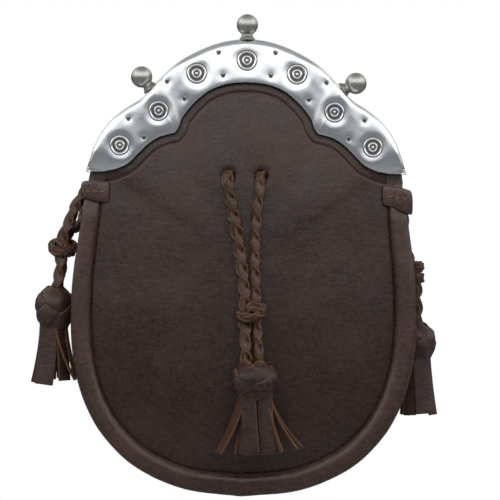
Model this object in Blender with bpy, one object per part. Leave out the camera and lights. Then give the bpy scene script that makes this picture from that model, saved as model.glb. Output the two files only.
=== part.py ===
"""A sporran pouch: a hollow leather bag under a cast metal cantle, with braided thongs and tassels.

Metres, +Z up. The front faces -Y and +X is the right-hand side of someone who looks at the front.
The origin lies on the outer face of the back panel, midway between the two loops that carry the
waist strap. Every table is in millimetres, and MM turns it into metres.
"""

import math

import bmesh
import bpy
from mathutils import Matrix, Vector
from mathutils.bvhtree import BVHTree

MM = 0.001
GAP = 0.3  # left between pieces that touch on the real bag

# Walls of the bag.
LEATHER = 2.2  # front panel, back panel and flap
GUSSET_WALL = 2.0
# How far the gusset stands out of the seam, from its front edge to the back: share of depth, out.
GUSSET_BULGE = [(0.0, 0.0), (0.34, 2.4), (1.0, 0.9)]
BACK_MARGIN = 0.9
SEAM_DEPTH_TOP = 27.0  # from the back face to the front seam, at the top of the bag
SEAM_DEPTH_BOTTOM = 35.0
PANEL_RISE = 8.0  # how far the middle of the front stands out past its seam
PANEL_RISE_POWER = 2.6
EDGE_DROP = 1.2  # the front's edge turns in towards the seam
EDGE_DROP_WIDTH = 0.025  # as a share of the way from the centre to the seam
BAG_CENTRE_Z = -38.0
OUTLINE_POINTS = 64
PANEL_RINGS = (1.0, 0.975, 0.9, 0.72, 0.4)  # shares of the way out to the seam

# Half of the front seam, from the bottom of the bag to its top: x, z.
SEAM_OUTLINE = [
    (0.0, -142.2),
    (26.0, -139.3),
    (47.5, -130.0),
    (61.0, -117.5),
    (68.6, -105.0),
    (73.0, -92.5),
    (75.4, -80.0),
    (76.3, -67.5),
    (76.3, -55.0),
    (75.8, -42.5),
    (74.6, -30.0),
    (73.2, -17.5),
    (72.4, -7.0),
    (71.0, 1.0),
    (70.0, 8.0),
    (70.5, 14.0),
    (69.5, 20.0),
    (66.3, 26.5),
    (61.5, 32.0),
    (56.0, 36.3),
    (50.5, 39.5),
    (45.5, 43.0),
    (41.5, 47.5),
    (38.0, 52.0),
    (33.5, 57.0),
    (27.5, 62.0),
    (21.0, 66.0),
    (14.0, 69.0),
    (7.0, 70.6),
    (0.0, 71.0),
]

# The padded roll round the bag's edge: its radius, and how far its centreline lies behind the
# seam, at heights z. It ends under the cantle.
ROLL_RADIUS = [(-142.0, 5.0), (-55.0, 4.6), (-9.0, 4.2), (0.0, 3.7), (8.0, 2.8), (14.0, 2.6)]
ROLL_SINK = [(-14.0, 0.5), (8.0, 4.0), (14.0, 4.6)]
ROLL_TOP_Z = 14.0
ROLL_POINTS = 45

# Half of the cantle's rim and of its scalloped lower edge, from its tip to its top, row by row:
# outer_x, outer_z, inner_x, inner_z. A row with CUSP in it is the point of the scallop.
CUSP_ROW = 8
CANTLE_ROWS = [
    (79.4, 8.6, 77.2, 8.6),
    (78.8, 11.2, 68.9, 8.7),
    (77.6, 16.0, 63.4, 10.2),
    (75.6, 21.4, 58.5, 12.8),
    (72.0, 28.3, 53.8, 17.5),
    (66.4, 35.2, 49.0, 22.2),
    (59.6, 40.6, 43.9, 25.6),
    (52.6, 45.0, 39.3, 27.1),
    (47.2, 50.4, 35.6, 28.0),
    (44.2, 54.0, 33.6, 31.0),
    (41.4, 57.0, 32.0, 35.6),
    (37.0, 61.2, 28.5, 40.4),
    (31.6, 65.2, 25.0, 44.1),
    (24.6, 69.2, 20.0, 48.3),
    (17.0, 72.4, 14.0, 51.3),
    (8.6, 74.6, 7.2, 53.0),
    (0.0, 75.4, 0.0, 53.4),
]
CANTLE_WALL = 1.8
CANTLE_SEAT = 0.5  # gap to the front panel, whose face is made of flat facets
CANTLE_EDGE = 0.5  # bevel along the scalloped edge
CANTLE_CROWN = 1.6  # how far the plate's middle stands out past its edges
CANTLE_CROWN_WIDTH = 18.0  # where the plate is narrower, its crown is lower
CANTLE_CROWN_ROWS = [(0.35, 0.77), (0.7, 0.98)]  # share of the plate's width, share of the crown
CANTLE_BROW = 0.59  # share of the crown that is left where the shoulder begins
CANTLE_SHOULDER = 4.0  # radius from the plate to the rim wall
CANTLE_SHOULDER_SHARE = 0.6  # the most of the plate's width that the shoulder takes
CANTLE_WALL_SHARE = 0.35  # the same for the rim wall
CANTLE_RIM = 13.0  # depth of the rim wall behind the plate's face
SHOULDER_STEPS = 3

# Concentric rings on the cantle: half the places of their centres, x, z.
RING_PLACES = [(63.0, 21.6), (43.8, 38.9), (25.0, 57.8), (0.0, 64.5)]
RING_RADII = [(4.3, 0.45, 14), (2.2, 0.42, 10)]  # radius, half thickness, sides
RING_FOOT = -0.5  # how deep a ring is sunk into the plate
RING_EDGE = 0.05  # height of a ring's edges, below its rounded top
RING_BOSS = (0.8, 6)  # radius and sides of the knob in the middle
# Punched dimples between the rings: half of their places, x, z.
DIMPLE_PLACES = [(58.8, 34.9), (50.9, 25.4), (39.7, 53.6), (30.9, 44.9), (14.2, 68.4), (11.9, 56.9)]
# The punch's point is sunk into the plate, and half of the punch stays out of it.
DIMPLE_PUNCH = {"segments": 6, "radius1": 0.3, "radius2": 1.7, "depth": 1.4}

# Ball finials: name, foot x, foot z, lean from upright in degrees (positive to the right).
FINIALS = [("left", -48.2, 50.4, -41.0), ("top", 0.0, 75.4, 0.0), ("right", 48.2, 50.4, 51.0)]
FINIAL_Y = -27.5
FINIAL_SIDES = 14
FINIAL_ROWS = 6  # from the ball's neck to its top
FINIAL_BALL = 5.5
FINIAL_BALL_HEIGHT = 6.8  # from the foot to the ball's centre
FINIAL_STEM = [(3.7, 0.0), (3.4, 0.7), (2.3, 1.5)]  # radius, height

# Keeper straps: name, side, middle height, drop for each mm outwards.
KEEPERS = [("left", -1, -1.2, 0.06), ("right", 1, -3.6, 0.19)]
KEEPER_WIDTH = 9.4
KEEPER_THICK = 1.9
KEEPER_GAP = 0.95  # to the roll and the panel, whose faces are flat facets
KEEPER_INNER_X = 67.6
KEEPER_TURN_X = 69.4  # where it leaves the panel to go round the roll
KEEPER_ARC = (-110, -84, -58, -32, -6, 20, 46, 72, 92)  # degrees round the roll, from the front

# Back of the bag: the mouth, the flap over it, its stud and the loops for the waist strap.
MOUTH_HALF_WIDTH = 36.0
MOUTH_Z = (2.0, 30.0)
MOUTH_CORNER = 5.0
MOUTH_CUT_OVER = 3.0  # how far the cutter reaches past the panel on each side
FLAP_OUTLINE = [
    (0.0, 46.0),
    (22.0, 46.0),
    (34.0, 45.0),
    (40.0, 38.0),
    (42.0, 22.0),
    (41.0, 6.0),
    (35.0, -9.0),
    (22.0, -20.0),
    (8.0, -25.0),
    (0.0, -25.6),
]
FLAP_POINTS = 40
STUD_Z = -15.0
STUD_PROFILE = [(0.0, 2.4), (3.2, 2.2), (5.0, 1.3), (5.4, 0.0), (0.0, 0.0)]  # radius, height
STUD_SIDES = 14
LOOP_X = 54.0
LOOP_WIDTH = 14.0
LOOP_THICK = 2.0
LOOP_PATH = [(30.0, 0.0), (21.0, 0.0), (17.5, 2.9), (14.0, 6.0), (11.0, 6.0)]  # z, y; half of it

# Braided thongs, as plain tubes here.
THONG = 5.6
THONG_STEP = 8.0  # between the points of a tube
THONG_HOLE = 3.7  # radius of the punched holes
HOLE_CUT = 14.0  # length of the punch
FRONT_HOLES = [(-8.4, 7.6), (8.4, 7.6)]
SIDE_HOLE_X = 72.0
SIDE_HOLE_Z = 2.8
SIDE_HOLES_Y = (-17.5, -7.0)

# Route of the front thong: x, z, height of its middle in front of the leather.
FRONT_LOOP = [
    (0.3, -54.6, 3.9),
    (-0.8, -42.0, 3.2),
    (-2.4, -30.0, 3.2),
    (-4.7, -17.5, 3.2),
    (-7.1, -6.0, 3.4),
    (-8.1, 1.0, 4.3),
    (-8.4, 5.8, 4.2),
    (-8.4, 8.2, 1.0),
    (-8.4, 8.2, -2.8),
    (-7.8, 8.2, -6.6),
    (-4.4, 8.2, -9.6),
    (0.0, 8.2, -10.4),
    (4.4, 8.2, -9.6),
    (7.8, 8.2, -6.6),
    (8.4, 8.2, -2.8),
    (8.4, 8.2, 1.0),
    (8.4, 5.8, 4.2),
    (8.2, 1.0, 4.3),
    (7.4, -8.0, 3.4),
    (6.5, -19.0, 3.2),
    (6.2, -30.0, 3.2),
    (6.2, -42.0, 3.2),
    (6.6, -54.6, 3.9),
]
FRONT_LOWER = [
    [(0.5, -68.0, 4.6), (0.9, -77.0, 6.6), (1.6, -85.6, 8.2)],
    [(6.7, -68.0, 4.6), (7.2, -77.0, 6.6), (7.6, -85.6, 8.2)],
]
# Routes of the side thongs: x, y, z.
LEFT_LOOP = [
    (-90.4, -19.8, -21.7),
    (-88.4, -19.4, -17.5),
    (-86.6, -18.6, -12.5),
    (-84.4, -17.8, -6.0),
    (-82.2, -17.5, -0.6),
    (-79.0, -17.5, 2.2),
    (-74.6, -17.5, 2.8),
    (-69.0, -17.5, 2.8),
    (-65.2, -15.6, 2.8),
    (-63.8, -12.2, 2.8),
    (-65.2, -8.9, 2.8),
    (-69.0, -7.0, 2.8),
    (-74.6, -7.0, 2.8),
    (-78.4, -7.2, 1.4),
    (-80.2, -7.8, -3.5),
    (-80.6, -9.0, -10.0),
    (-82.6, -11.0, -16.0),
    (-85.6, -12.6, -19.2),
    (-88.2, -13.8, -21.1),
]
LEFT_LOWER = [
    [(-92.2, -20.2, -34.8), (-92.8, -20.4, -42.0), (-94.2, -20.2, -49.0)],
    [(-92.0, -14.2, -34.8), (-92.6, -14.2, -42.0), (-94.0, -14.2, -49.0)],
]
RIGHT_LOOP = [
    (83.5, -17.4, -34.5),
    (80.9, -18.0, -28.5),
    (79.2, -18.2, -21.0),
    (78.8, -18.0, -14.0),
    (79.4, -17.8, -6.5),
    (79.4, -17.5, -0.8),
    (77.6, -17.5, 2.2),
    (73.8, -17.5, 2.8),
    (69.0, -17.5, 2.8),
    (65.2, -15.6, 2.8),
    (63.8, -12.2, 2.8),
    (65.2, -8.9, 2.8),
    (69.0, -7.0, 2.8),
    (73.8, -7.0, 2.8),
    (77.6, -7.0, 2.2),
    (79.4, -7.0, -0.8),
    (79.4, -7.2, -6.5),
    (78.8, -8.2, -14.0),
    (79.2, -9.8, -21.0),
    (80.9, -11.2, -28.5),
    (83.5, -12.2, -34.4),
]
RIGHT_LOWER = [
    [(85.4, -17.8, -47.3), (85.8, -17.9, -56.0), (86.3, -17.6, -65.0)],
    [(85.4, -11.8, -47.3), (85.8, -11.9, -56.0), (86.3, -12.0, -65.0)],
]

# Knots: name, middle x, y, z, half sizes across, deep and high, turn about Z and tilt in degrees.
# None for y lays the knot on the front panel.
KNOTS = [
    ("front", 3.5, None, -61.0, 8.2, 5.0, 5.5, 0.0, 14.0),
    ("left", -91.4, -17.0, -28.2, 8.0, 6.4, 5.5, 20.0, -12.0),
    ("right", 84.6, -14.8, -40.8, 7.6, 5.0, 6.2, 90.0, 10.0),
]
KNOT_RIDGE = 0.9
KNOT_TURNS = 3
KNOT_FILL = 1.16  # the most that a knot's corners are drawn out from a ball's
KNOT_SIDES = (14, 9)  # round the knot, and from its bottom to its top

# Tassel heads: name, middle x, y, top z, half width, half depth, height.
TASSELS = [
    ("front", 5.4, None, -86.6, 11.0, 8.8, 18.0),
    ("left", -95.6, -17.4, -50.0, 9.0, 8.6, 20.6),
    ("right", 86.9, -14.8, -66.4, 8.7, 8.6, 17.6),
]
HEAD_PROFILE = [(0.52, 0.0), (0.84, 0.1), (1.0, 0.34), (1.0, 0.62), (0.86, 0.9), (0.72, 1.0)]
HEAD_SIDES = 14
STRIP_THICK = 1.5
STRIP_STATIONS = (2, 4)  # lengths of a straight strip and of one that flares
STRIP_FLARE = 3.0  # splay from which a strip counts as flared
STRIP_ROOT = 0.62  # share of the way out from the head's middle where a strip begins
STRIP_TOP = 0.86  # share of the way down the head where it begins
STRIP_CURVE = 1.6  # a flared strip bends outwards towards its end
# Strips of each tassel: direction round the head from the front (0) to the right (90), width,
# length below the head, outward splay at the end, turn of the strip's face about its own length.
STRIPS = {
    "front": [
        (-24.0, 8.4, 29.0, 0.5, 12.0),
        (27.0, 8.4, 29.0, 1.0, -12.0),
        (-72.0, 4.6, 27.5, 14.0, 30.0),
        (-96.0, 4.6, 27.5, 5.0, 0.0),
        (66.0, 4.6, 25.5, 6.0, 60.0),
        (84.0, 4.6, 24.5, 13.5, 50.0),
        (112.0, 4.6, 24.5, 17.0, 60.0),
        (165.0, 7.0, 28.0, 0.5, 0.0),
        (-145.0, 7.0, 28.0, 0.5, 0.0),
    ],
    "left": [
        (-40.0, 8.4, 26.0, 3.5, 10.0),
        (10.0, 2.0, 24.5, 10.0, 60.0),
        (60.0, 6.0, 25.0, 3.0, 0.0),
        (100.0, 6.0, 25.0, 5.0, 0.0),
        (150.0, 7.0, 25.5, 2.0, 0.0),
        (-160.0, 7.0, 25.5, 2.0, 0.0),
        (-100.0, 7.0, 25.5, 3.0, 0.0),
    ],
    "right": [
        (20.0, 8.0, 27.5, 2.5, -10.0),
        (72.0, 6.5, 27.5, 2.0, 0.0),
        (-30.0, 6.0, 28.0, 1.0, 30.0),
        (-75.0, 6.0, 27.0, 1.0, 0.0),
        (125.0, 7.0, 27.0, 2.0, 0.0),
        (180.0, 7.0, 27.0, 1.0, 0.0),
        (-125.0, 6.5, 27.0, 1.0, 0.0),
    ],
}

COLOURS = {
    "leather": ((0.052, 0.034, 0.028), 0.55, 0.0),
    "braid_leather": ((0.085, 0.055, 0.038), 0.6, 0.0),
    "polished_metal": ((0.72, 0.73, 0.74), 0.18, 1.0),
    "dark_metal": ((0.33, 0.33, 0.31), 0.3, 1.0),
}


def clear_scene():
    for obj in list(bpy.data.objects):
        bpy.data.objects.remove(obj)


def material(name):
    """The named finish, made once."""
    found = bpy.data.materials.get(name)
    if found:
        return found
    colour, roughness, metallic = COLOURS[name]
    made = bpy.data.materials.new(name)
    made.use_nodes = True
    shader = made.node_tree.nodes["Principled BSDF"]
    shader.inputs["Base Color"].default_value = (*colour, 1.0)
    shader.inputs["Roughness"].default_value = roughness
    shader.inputs["Metallic"].default_value = metallic
    return made


def add_object(name, bm, finish):
    """A piece from a bmesh in millimetres, with its faces pointing out."""
    bmesh.ops.scale(bm, vec=(MM, MM, MM), verts=bm.verts)
    bmesh.ops.recalc_face_normals(bm, faces=bm.faces)
    mesh = bpy.data.meshes.new(name)
    bm.to_mesh(mesh)
    bm.free()
    mesh.materials.append(material(finish))
    mesh.shade_smooth()
    mesh.set_sharp_from_angle(angle=math.radians(40))
    obj = bpy.data.objects.new(name, mesh)
    bpy.context.scene.collection.objects.link(obj)
    return obj


def add_helper(name, bm):
    """A cutter, or a shape that a Boolean joins to a piece."""
    obj = add_object(name, bm, "leather")
    obj.hide_render = True
    obj.display_type = "WIRE"
    return obj


def boolean(obj, other, operation):
    change = obj.modifiers.new(other.name, "BOOLEAN")
    change.operation = operation
    change.object = other


def smooth_curve(points, steps=8):
    """Points along a smooth curve through the given ones (Catmull-Rom)."""
    given = [Vector(p) for p in points]
    before = [2 * given[0] - given[1]] + given
    after = before + [2 * given[-1] - given[-2]]
    found = []
    for p0, p1, p2, p3 in zip(after, after[1:], after[2:], after[3:]):
        for k in range(steps):
            t = k / steps
            found.append(
                0.5
                * (
                    2 * p1
                    + (p2 - p0) * t
                    + (2 * p0 - 5 * p1 + 4 * p2 - p3) * t * t
                    + (3 * p1 - p0 - 3 * p2 + p3) * t**3
                )
            )
    found.append(given[-1])
    return found


def resample(points, count):
    """The line through the points, cut into count equal lengths."""
    reached = [0.0]
    for a, b in zip(points, points[1:]):
        reached.append(reached[-1] + (b - a).length)
    found = []
    for k in range(count + 1):
        wanted = reached[-1] * k / count
        i = next((i for i in range(1, len(reached)) if reached[i] >= wanted - 1e-9), len(reached) - 1)
        share = (wanted - reached[i - 1]) / max(reached[i] - reached[i - 1], 1e-9)
        found.append(points[i - 1].lerp(points[i], share))
    return found


def mirrored(half):
    """A closed outline from its right half, whose first and last points lie on x = 0."""
    return half + [Vector((-p.x, p.y)) for p in half[-2:0:-1]]


def outward_normals(outline):
    """The normals of a closed outline that runs anticlockwise as seen from the front."""
    count = len(outline)
    found = []
    for i in range(count):
        along = outline[(i + 1) % count] - outline[i - 1]
        found.append(Vector((along.y, -along.x)).normalized())
    return found


def between(rows, at):
    """Straight-line reading of a table of (place, value) rows."""
    if at <= rows[0][0]:
        return rows[0][1]
    for (x0, y0), (x1, y1) in zip(rows, rows[1:]):
        if at <= x1:
            return y0 + (y1 - y0) * (at - x0) / (x1 - x0)
    return rows[-1][1]


SEAM_HALF = resample(smooth_curve(SEAM_OUTLINE), OUTLINE_POINTS // 2)
SEAM = mirrored(SEAM_HALF)
SEAM_NORMALS = outward_normals(SEAM)


def seam_depth(z):
    """How far the front seam stands in front of the back face, at height z."""
    top, bottom = SEAM_OUTLINE[-1][1], SEAM_OUTLINE[0][1]
    share = (top - z) / (top - bottom)
    return SEAM_DEPTH_TOP + (SEAM_DEPTH_BOTTOM - SEAM_DEPTH_TOP) * share


def share_out(x, z):
    """0 at the bag's centre and 1 at the seam, along the ray through (x, z)."""
    place = Vector((abs(x), z - BAG_CENTRE_Z))
    if place.length < 1e-6:
        return 0.0
    ray = place.normalized()
    for a, b in zip(SEAM_HALF, SEAM_HALF[1:]):
        start = Vector((a.x, a.y - BAG_CENTRE_Z))
        end = Vector((b.x, b.y - BAG_CENTRE_Z))
        side = end - start
        across = ray.x * side.y - ray.y * side.x
        if abs(across) < 1e-9:
            continue
        far = (start.x * side.y - start.y * side.x) / across
        along = (start.x * ray.y - start.y * ray.x) / across
        if far > 0 and -1e-6 <= along <= 1 + 1e-6:
            return place.length / far
    return 1.0


def front_y(x, z):
    """The outer face of the front panel."""
    share = share_out(x, z)
    rise = PANEL_RISE * (1 - share**PANEL_RISE_POWER)
    drop = EDGE_DROP * math.exp(-abs(1 - share) / EDGE_DROP_WIDTH)
    return -(seam_depth(z) + rise - drop)


def bridge(bm, first, second):
    """A band of faces between two closed rows of vertices."""
    count = len(first)
    for i in range(count):
        j = (i + 1) % count
        bm.faces.new((first[i], first[j], second[j], second[i]))


def loft(rings):
    """A bmesh whose rings of equal length are joined in order, with flat ends."""
    bm = bmesh.new()
    made = [[bm.verts.new(p) for p in ring] for ring in rings]
    for first, second in zip(made, made[1:]):
        bridge(bm, first, second)
    bm.faces.new(made[0][::-1])
    bm.faces.new(made[-1])
    return bm


def turned(profile, sides):
    """A bmesh of a profile of (radius, height) rows spun about Z. It starts and ends on the axis."""
    bm = bmesh.new()
    verts = [bm.verts.new((r, 0, h)) for r, h in profile]
    edges = [bm.edges.new(pair) for pair in zip(verts, verts[1:])]
    bmesh.ops.spin(
        bm,
        geom=verts + edges,
        axis=(0, 0, 1),
        cent=(0, 0, 0),
        angle=math.tau,
        steps=sides,
        use_merge=True,
    )
    bmesh.ops.remove_doubles(bm, verts=bm.verts, dist=1e-4)
    return bm


def plate(outline, y_front, y_back):
    """A flat bmesh plate of a closed (x, z) outline between two y planes."""
    rings = [[(p.x, y, p.y) for p in outline] for y in (y_front, y_back)]
    return loft(rings)


def solidify(obj, wall):
    """Turns an open sheet into a wall that grows inwards from it."""
    change = obj.modifiers.new("wall", "SOLIDIFY")
    change.thickness = wall * MM
    change.offset = -1.0
    change.use_even_offset = True


def cylinder_along(axis, centre, radius, length, sides=12):
    """A bmesh cylinder centred on a point, along the X or Y axis."""
    bm = bmesh.new()
    bmesh.ops.create_cone(
        bm, cap_ends=True, segments=sides, radius1=radius, radius2=radius, depth=length
    )
    turn = Vector((0, 0, 1)).rotation_difference(Vector(axis)).to_matrix()
    bmesh.ops.rotate(bm, verts=bm.verts, cent=(0, 0, 0), matrix=turn)
    bmesh.ops.translate(bm, verts=bm.verts, vec=centre)
    return bm


def make_front_panel():
    """The domed front: rings of the seam outline drawn in towards the middle."""
    bm = bmesh.new()
    rings = []
    for share in PANEL_RINGS:
        ring = []
        for p in SEAM:
            x, z = p.x * share, BAG_CENTRE_Z + (p.y - BAG_CENTRE_Z) * share
            ring.append(bm.verts.new((x, front_y(x, z), z)))
        rings.append(ring)
    for outer, inner in zip(rings, rings[1:]):
        bridge(bm, outer, inner)
    pole = bm.verts.new((0, front_y(0, BAG_CENTRE_Z), BAG_CENTRE_Z))
    for a, b in zip(rings[-1], rings[-1][1:] + rings[-1][:1]):
        bm.faces.new((a, b, pole))
    panel = add_object("front_panel", bm, "leather")
    face_sheet(panel, Vector((0, -1, 0)))
    solidify(panel, LEATHER)
    for k, (x, z) in enumerate(FRONT_HOLES):
        centre = (x, front_y(x, z), z)
        cutter = cylinder_along((0, 1, 0), centre, THONG_HOLE, HOLE_CUT)
        boolean(panel, add_helper(f"front_hole_{k}", cutter), "DIFFERENCE")


def face_sheet(obj, way):
    """Turns an open sheet over if its first face points away from the given direction."""
    bm = bmesh.new()
    bm.from_mesh(obj.data)
    bm.faces.ensure_lookup_table()
    if bm.faces[0].normal.dot(way) < 0:
        bmesh.ops.reverse_faces(bm, faces=bm.faces)
    bm.to_mesh(obj.data)
    bm.free()


def make_gusset():
    """The wall round the bag, from behind the front seam to the back panel."""
    bm = bmesh.new()
    rows = []
    for share, bulge in GUSSET_BULGE:
        row = []
        for p, n in zip(SEAM, SEAM_NORMALS):
            front = -(seam_depth(p.y) - EDGE_DROP - LEATHER - 2 * GAP)
            back = -(LEATHER + GAP)
            out = p + n * bulge
            row.append(bm.verts.new((out.x, front + (back - front) * share, out.y)))
        rows.append(row)
    for first, second in zip(rows, rows[1:]):
        bridge(bm, first, second)
    gusset = add_object("gusset", bm, "leather")
    face_sheet(gusset, Vector((0, 0, -1)))
    solidify(gusset, GUSSET_WALL)
    for side in (-1, 1):
        for k, y in enumerate(SIDE_HOLES_Y):
            centre = (side * SIDE_HOLE_X, y, SIDE_HOLE_Z)
            cutter = cylinder_along((1, 0, 0), centre, THONG_HOLE, HOLE_CUT)
            boolean(gusset, add_helper(f"side_hole_{side}_{k}", cutter), "DIFFERENCE")


def rounded_box(half_width, z_range, corner, steps=4):
    """The outline of an upright rectangle with round corners."""
    low, high = z_range
    corners = [
        (half_width - corner, low + corner, -90),
        (half_width - corner, high - corner, 0),
        (corner - half_width, high - corner, 90),
        (corner - half_width, low + corner, 180),
    ]
    found = []
    for x, z, start in corners:
        for k in range(steps + 1):
            turn = math.radians(start + 90 * k / steps)
            found.append(Vector((x + corner * math.cos(turn), z + corner * math.sin(turn))))
    return found


def make_back():
    """The back panel with its mouth, the flap over the mouth and the stud that closes it."""
    outline = [p + n * BACK_MARGIN for p, n in zip(SEAM, SEAM_NORMALS)]
    back = add_object("back_panel", plate(outline, -LEATHER, 0.0), "leather")
    mouth = rounded_box(MOUTH_HALF_WIDTH, MOUTH_Z, MOUTH_CORNER)
    cutter = add_helper("mouth_cut", plate(mouth, -LEATHER - MOUTH_CUT_OVER, MOUTH_CUT_OVER))
    boolean(back, cutter, "DIFFERENCE")
    half = resample(smooth_curve(FLAP_OUTLINE), FLAP_POINTS // 2)
    add_object("back_flap", plate(mirrored(half), GAP, GAP + LEATHER), "leather")
    stud = turned(STUD_PROFILE, STUD_SIDES)
    turn = Vector((0, 0, 1)).rotation_difference(Vector((0, 1, 0))).to_matrix()
    bmesh.ops.rotate(stud, verts=stud.verts, cent=(0, 0, 0), matrix=turn)
    bmesh.ops.translate(stud, verts=stud.verts, vec=(0, LEATHER + 2 * GAP, STUD_Z))
    add_object("flap_stud", stud, "dark_metal")


def strap(path, across, width, thick):
    """A bmesh of a flat strap along a path, as wide as width along the across direction."""
    rings = []
    across = Vector(across).normalized()
    for i, p in enumerate(path):
        along = (path[min(i + 1, len(path) - 1)] - path[max(i - 1, 0)]).normalized()
        side = (across - along * across.dot(along)).normalized()
        out = side.cross(along).normalized()
        w, t = side * width / 2, out * thick / 2
        rings.append([p + w + t, p - w + t, p - w - t, p + w - t])
    return loft(rings)


def make_strap_loops():
    """Two bridges of leather for the waist strap, whose flat backs rest on the wearer."""
    half = [Vector((0, y + GAP + LOOP_THICK / 2, z)) for z, y in LOOP_PATH]
    path = half + [Vector((0, p.y, -p.z)) for p in half[::-1]]
    for name, x in (("left", -LOOP_X), ("right", LOOP_X)):
        bm = strap([p + Vector((x, 0, 0)) for p in path], (1, 0, 0), LOOP_WIDTH, LOOP_THICK)
        add_object(f"strap_loop_{name}", bm, "leather")


def tube(name, points, radii, finish, resolution=2):
    """A closed tube along the points, from a poly curve with a bevel."""
    curve = bpy.data.curves.new(name, "CURVE")
    curve.dimensions = "3D"
    curve.twist_mode = "MINIMUM"
    curve.bevel_depth = MM
    curve.bevel_resolution = resolution
    curve.use_fill_caps = True
    spline = curve.splines.new("POLY")
    spline.points.add(len(points) - 1)
    for place, p, r in zip(spline.points, points, radii):
        place.co = (*(p * MM), 1.0)
        place.radius = r
    curve.materials.append(material(finish))
    obj = bpy.data.objects.new(name, curve)
    bpy.context.scene.collection.objects.link(obj)
    return obj


def roll_line():
    """The edge roll's centreline and radii, from its left top end round the bottom to its right."""
    half = [p for p in smooth_curve(SEAM_OUTLINE) if p.y <= ROLL_TOP_Z]
    seam = resample([Vector((-p.x, p.y)) for p in half[:0:-1]] + half, ROLL_POINTS)
    line = []
    for i, p in enumerate(seam):
        along = seam[min(i + 1, len(seam) - 1)] - seam[max(i - 1, 0)]
        radius = between(ROLL_RADIUS, p.y)
        out = p + Vector((along.y, -along.x)).normalized() * (radius + GAP)
        line.append((Vector((out.x, between(ROLL_SINK, p.y) - seam_depth(p.y), out.y)), radius))
    return line


def roll_at(z):
    """The centre and the radius of the roll's right side at height z."""
    right = sorted((p.z, p, radius) for p, radius in roll_line() if p.x > 0)
    return (
        between([(at, p) for at, p, _ in right], z),
        between([(at, radius) for at, _, radius in right], z),
    )


def make_edge_roll():
    line = roll_line()
    points, radii = zip(*line)
    tube("edge_roll", points, radii, "leather", resolution=3)


def make_keepers():
    """Straps that bind the roll's ends to the bag, from the front panel round to the gusset."""
    for name, side, height, drop in KEEPERS:
        top, bottom = height + KEEPER_WIDTH / 2, height - KEEPER_WIDTH / 2
        corners = [(top, KEEPER_THICK), (top, 0.0), (bottom, 0.0), (bottom, KEEPER_THICK)]
        edges = [keeper_edge(side, z, drop, out) for z, out in corners]
        add_object(f"keeper_{name}", loft(list(zip(*edges))), "leather")


def keeper_edge(side, z, drop, out):
    """A long edge of a keeper that starts at height z and lies out millimetres off its inner face."""
    front = front_y(KEEPER_INNER_X, z) - KEEPER_GAP - out
    found = [(KEEPER_INNER_X, front, z), (KEEPER_TURN_X, front, z)]
    for turn in KEEPER_ARC:
        angle = math.radians(turn)
        at = z
        for _ in range(3):
            centre, radius = roll_at(at)
            x = centre.x + (radius + KEEPER_GAP + out) * math.cos(angle)
            at = z - drop * (x - KEEPER_INNER_X)
        found.append((x, centre.y + (radius + KEEPER_GAP + out) * math.sin(angle), at))
    return [Vector((side * x, y, z)) for x, y, z in found]


def cantle_section(outer, inner):
    """One closed section of the cantle, from its scalloped edge over the plate to the rim wall."""
    width = (outer - inner).length
    way = (outer - inner).normalized()
    seat = front_y(inner.x, inner.y) - CANTLE_SEAT
    face = seat - CANTLE_WALL
    crown = CANTLE_CROWN * min(1.0, width / CANTLE_CROWN_WIDTH)
    shoulder = min(CANTLE_SHOULDER, width * CANTLE_SHOULDER_SHARE)
    wall = min(CANTLE_WALL, width * CANTLE_WALL_SHARE)
    flat = width - shoulder
    brow = face - crown * CANTLE_BROW
    top = [(0.0, seat), (0.0, face + CANTLE_EDGE), (min(CANTLE_EDGE, flat * 0.3), face)]
    top += [(flat * share, face - crown * rise) for share, rise in CANTLE_CROWN_ROWS]
    for k in range(SHOULDER_STEPS + 1):
        turn = math.pi / 2 * k / SHOULDER_STEPS
        top.append((flat + shoulder * math.sin(turn), brow + shoulder * (1 - math.cos(turn))))
    top.append((width, face + CANTLE_RIM))
    inside = shoulder - wall
    under = [
        (width - wall, face + CANTLE_RIM),
        (width - wall, brow + shoulder + wall / 4),
        (flat + inside * 0.7, brow + wall + inside * 0.3),
        (flat, brow + wall),
        (flat / 2, face + wall - crown),
    ]
    return [Vector((inner.x + way.x * w, y, inner.y + way.y * w)) for w, y in top + under]


def make_cantle():
    """The cast plate over the top of the bag, with its rim, its rings and its dimples."""
    sections = [cantle_section(Vector(row[:2]), Vector(row[2:])) for row in CANTLE_ROWS]
    other = [[Vector((-p.x, p.y, p.z)) for p in section] for section in sections[-2::-1]]
    bm = loft(sections + other)
    bmesh.ops.recalc_face_normals(bm, faces=bm.faces)
    tree = BVHTree.FromBMesh(bm)
    cantle = add_object("cantle", bm, "polished_metal")
    rings, dimples = bmesh.new(), bmesh.new()
    for x, z in both_sides(RING_PLACES):
        for radius, half_thick, sides in RING_RADII:
            add_ring(rings, radius, half_thick, sides)
            set_new_on(rings, tree, x, z)
        bmesh.ops.create_uvsphere(rings, u_segments=RING_BOSS[1], v_segments=5, radius=RING_BOSS[0])
        set_new_on(rings, tree, x, z)
    for x, z in both_sides(DIMPLE_PLACES):
        bmesh.ops.create_cone(dimples, cap_ends=True, **DIMPLE_PUNCH)
        set_new_on(dimples, tree, x, z)
    boolean(cantle, add_helper("cantle_rings", rings), "UNION")
    boolean(cantle, add_helper("cantle_dimples", dimples), "DIFFERENCE")


def both_sides(places):
    """The given right-hand places and their mirror images, with one on x = 0 taken once."""
    return [(side * x, z) for x, z in places for side in ((-1, 1) if x else (1,))]


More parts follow.
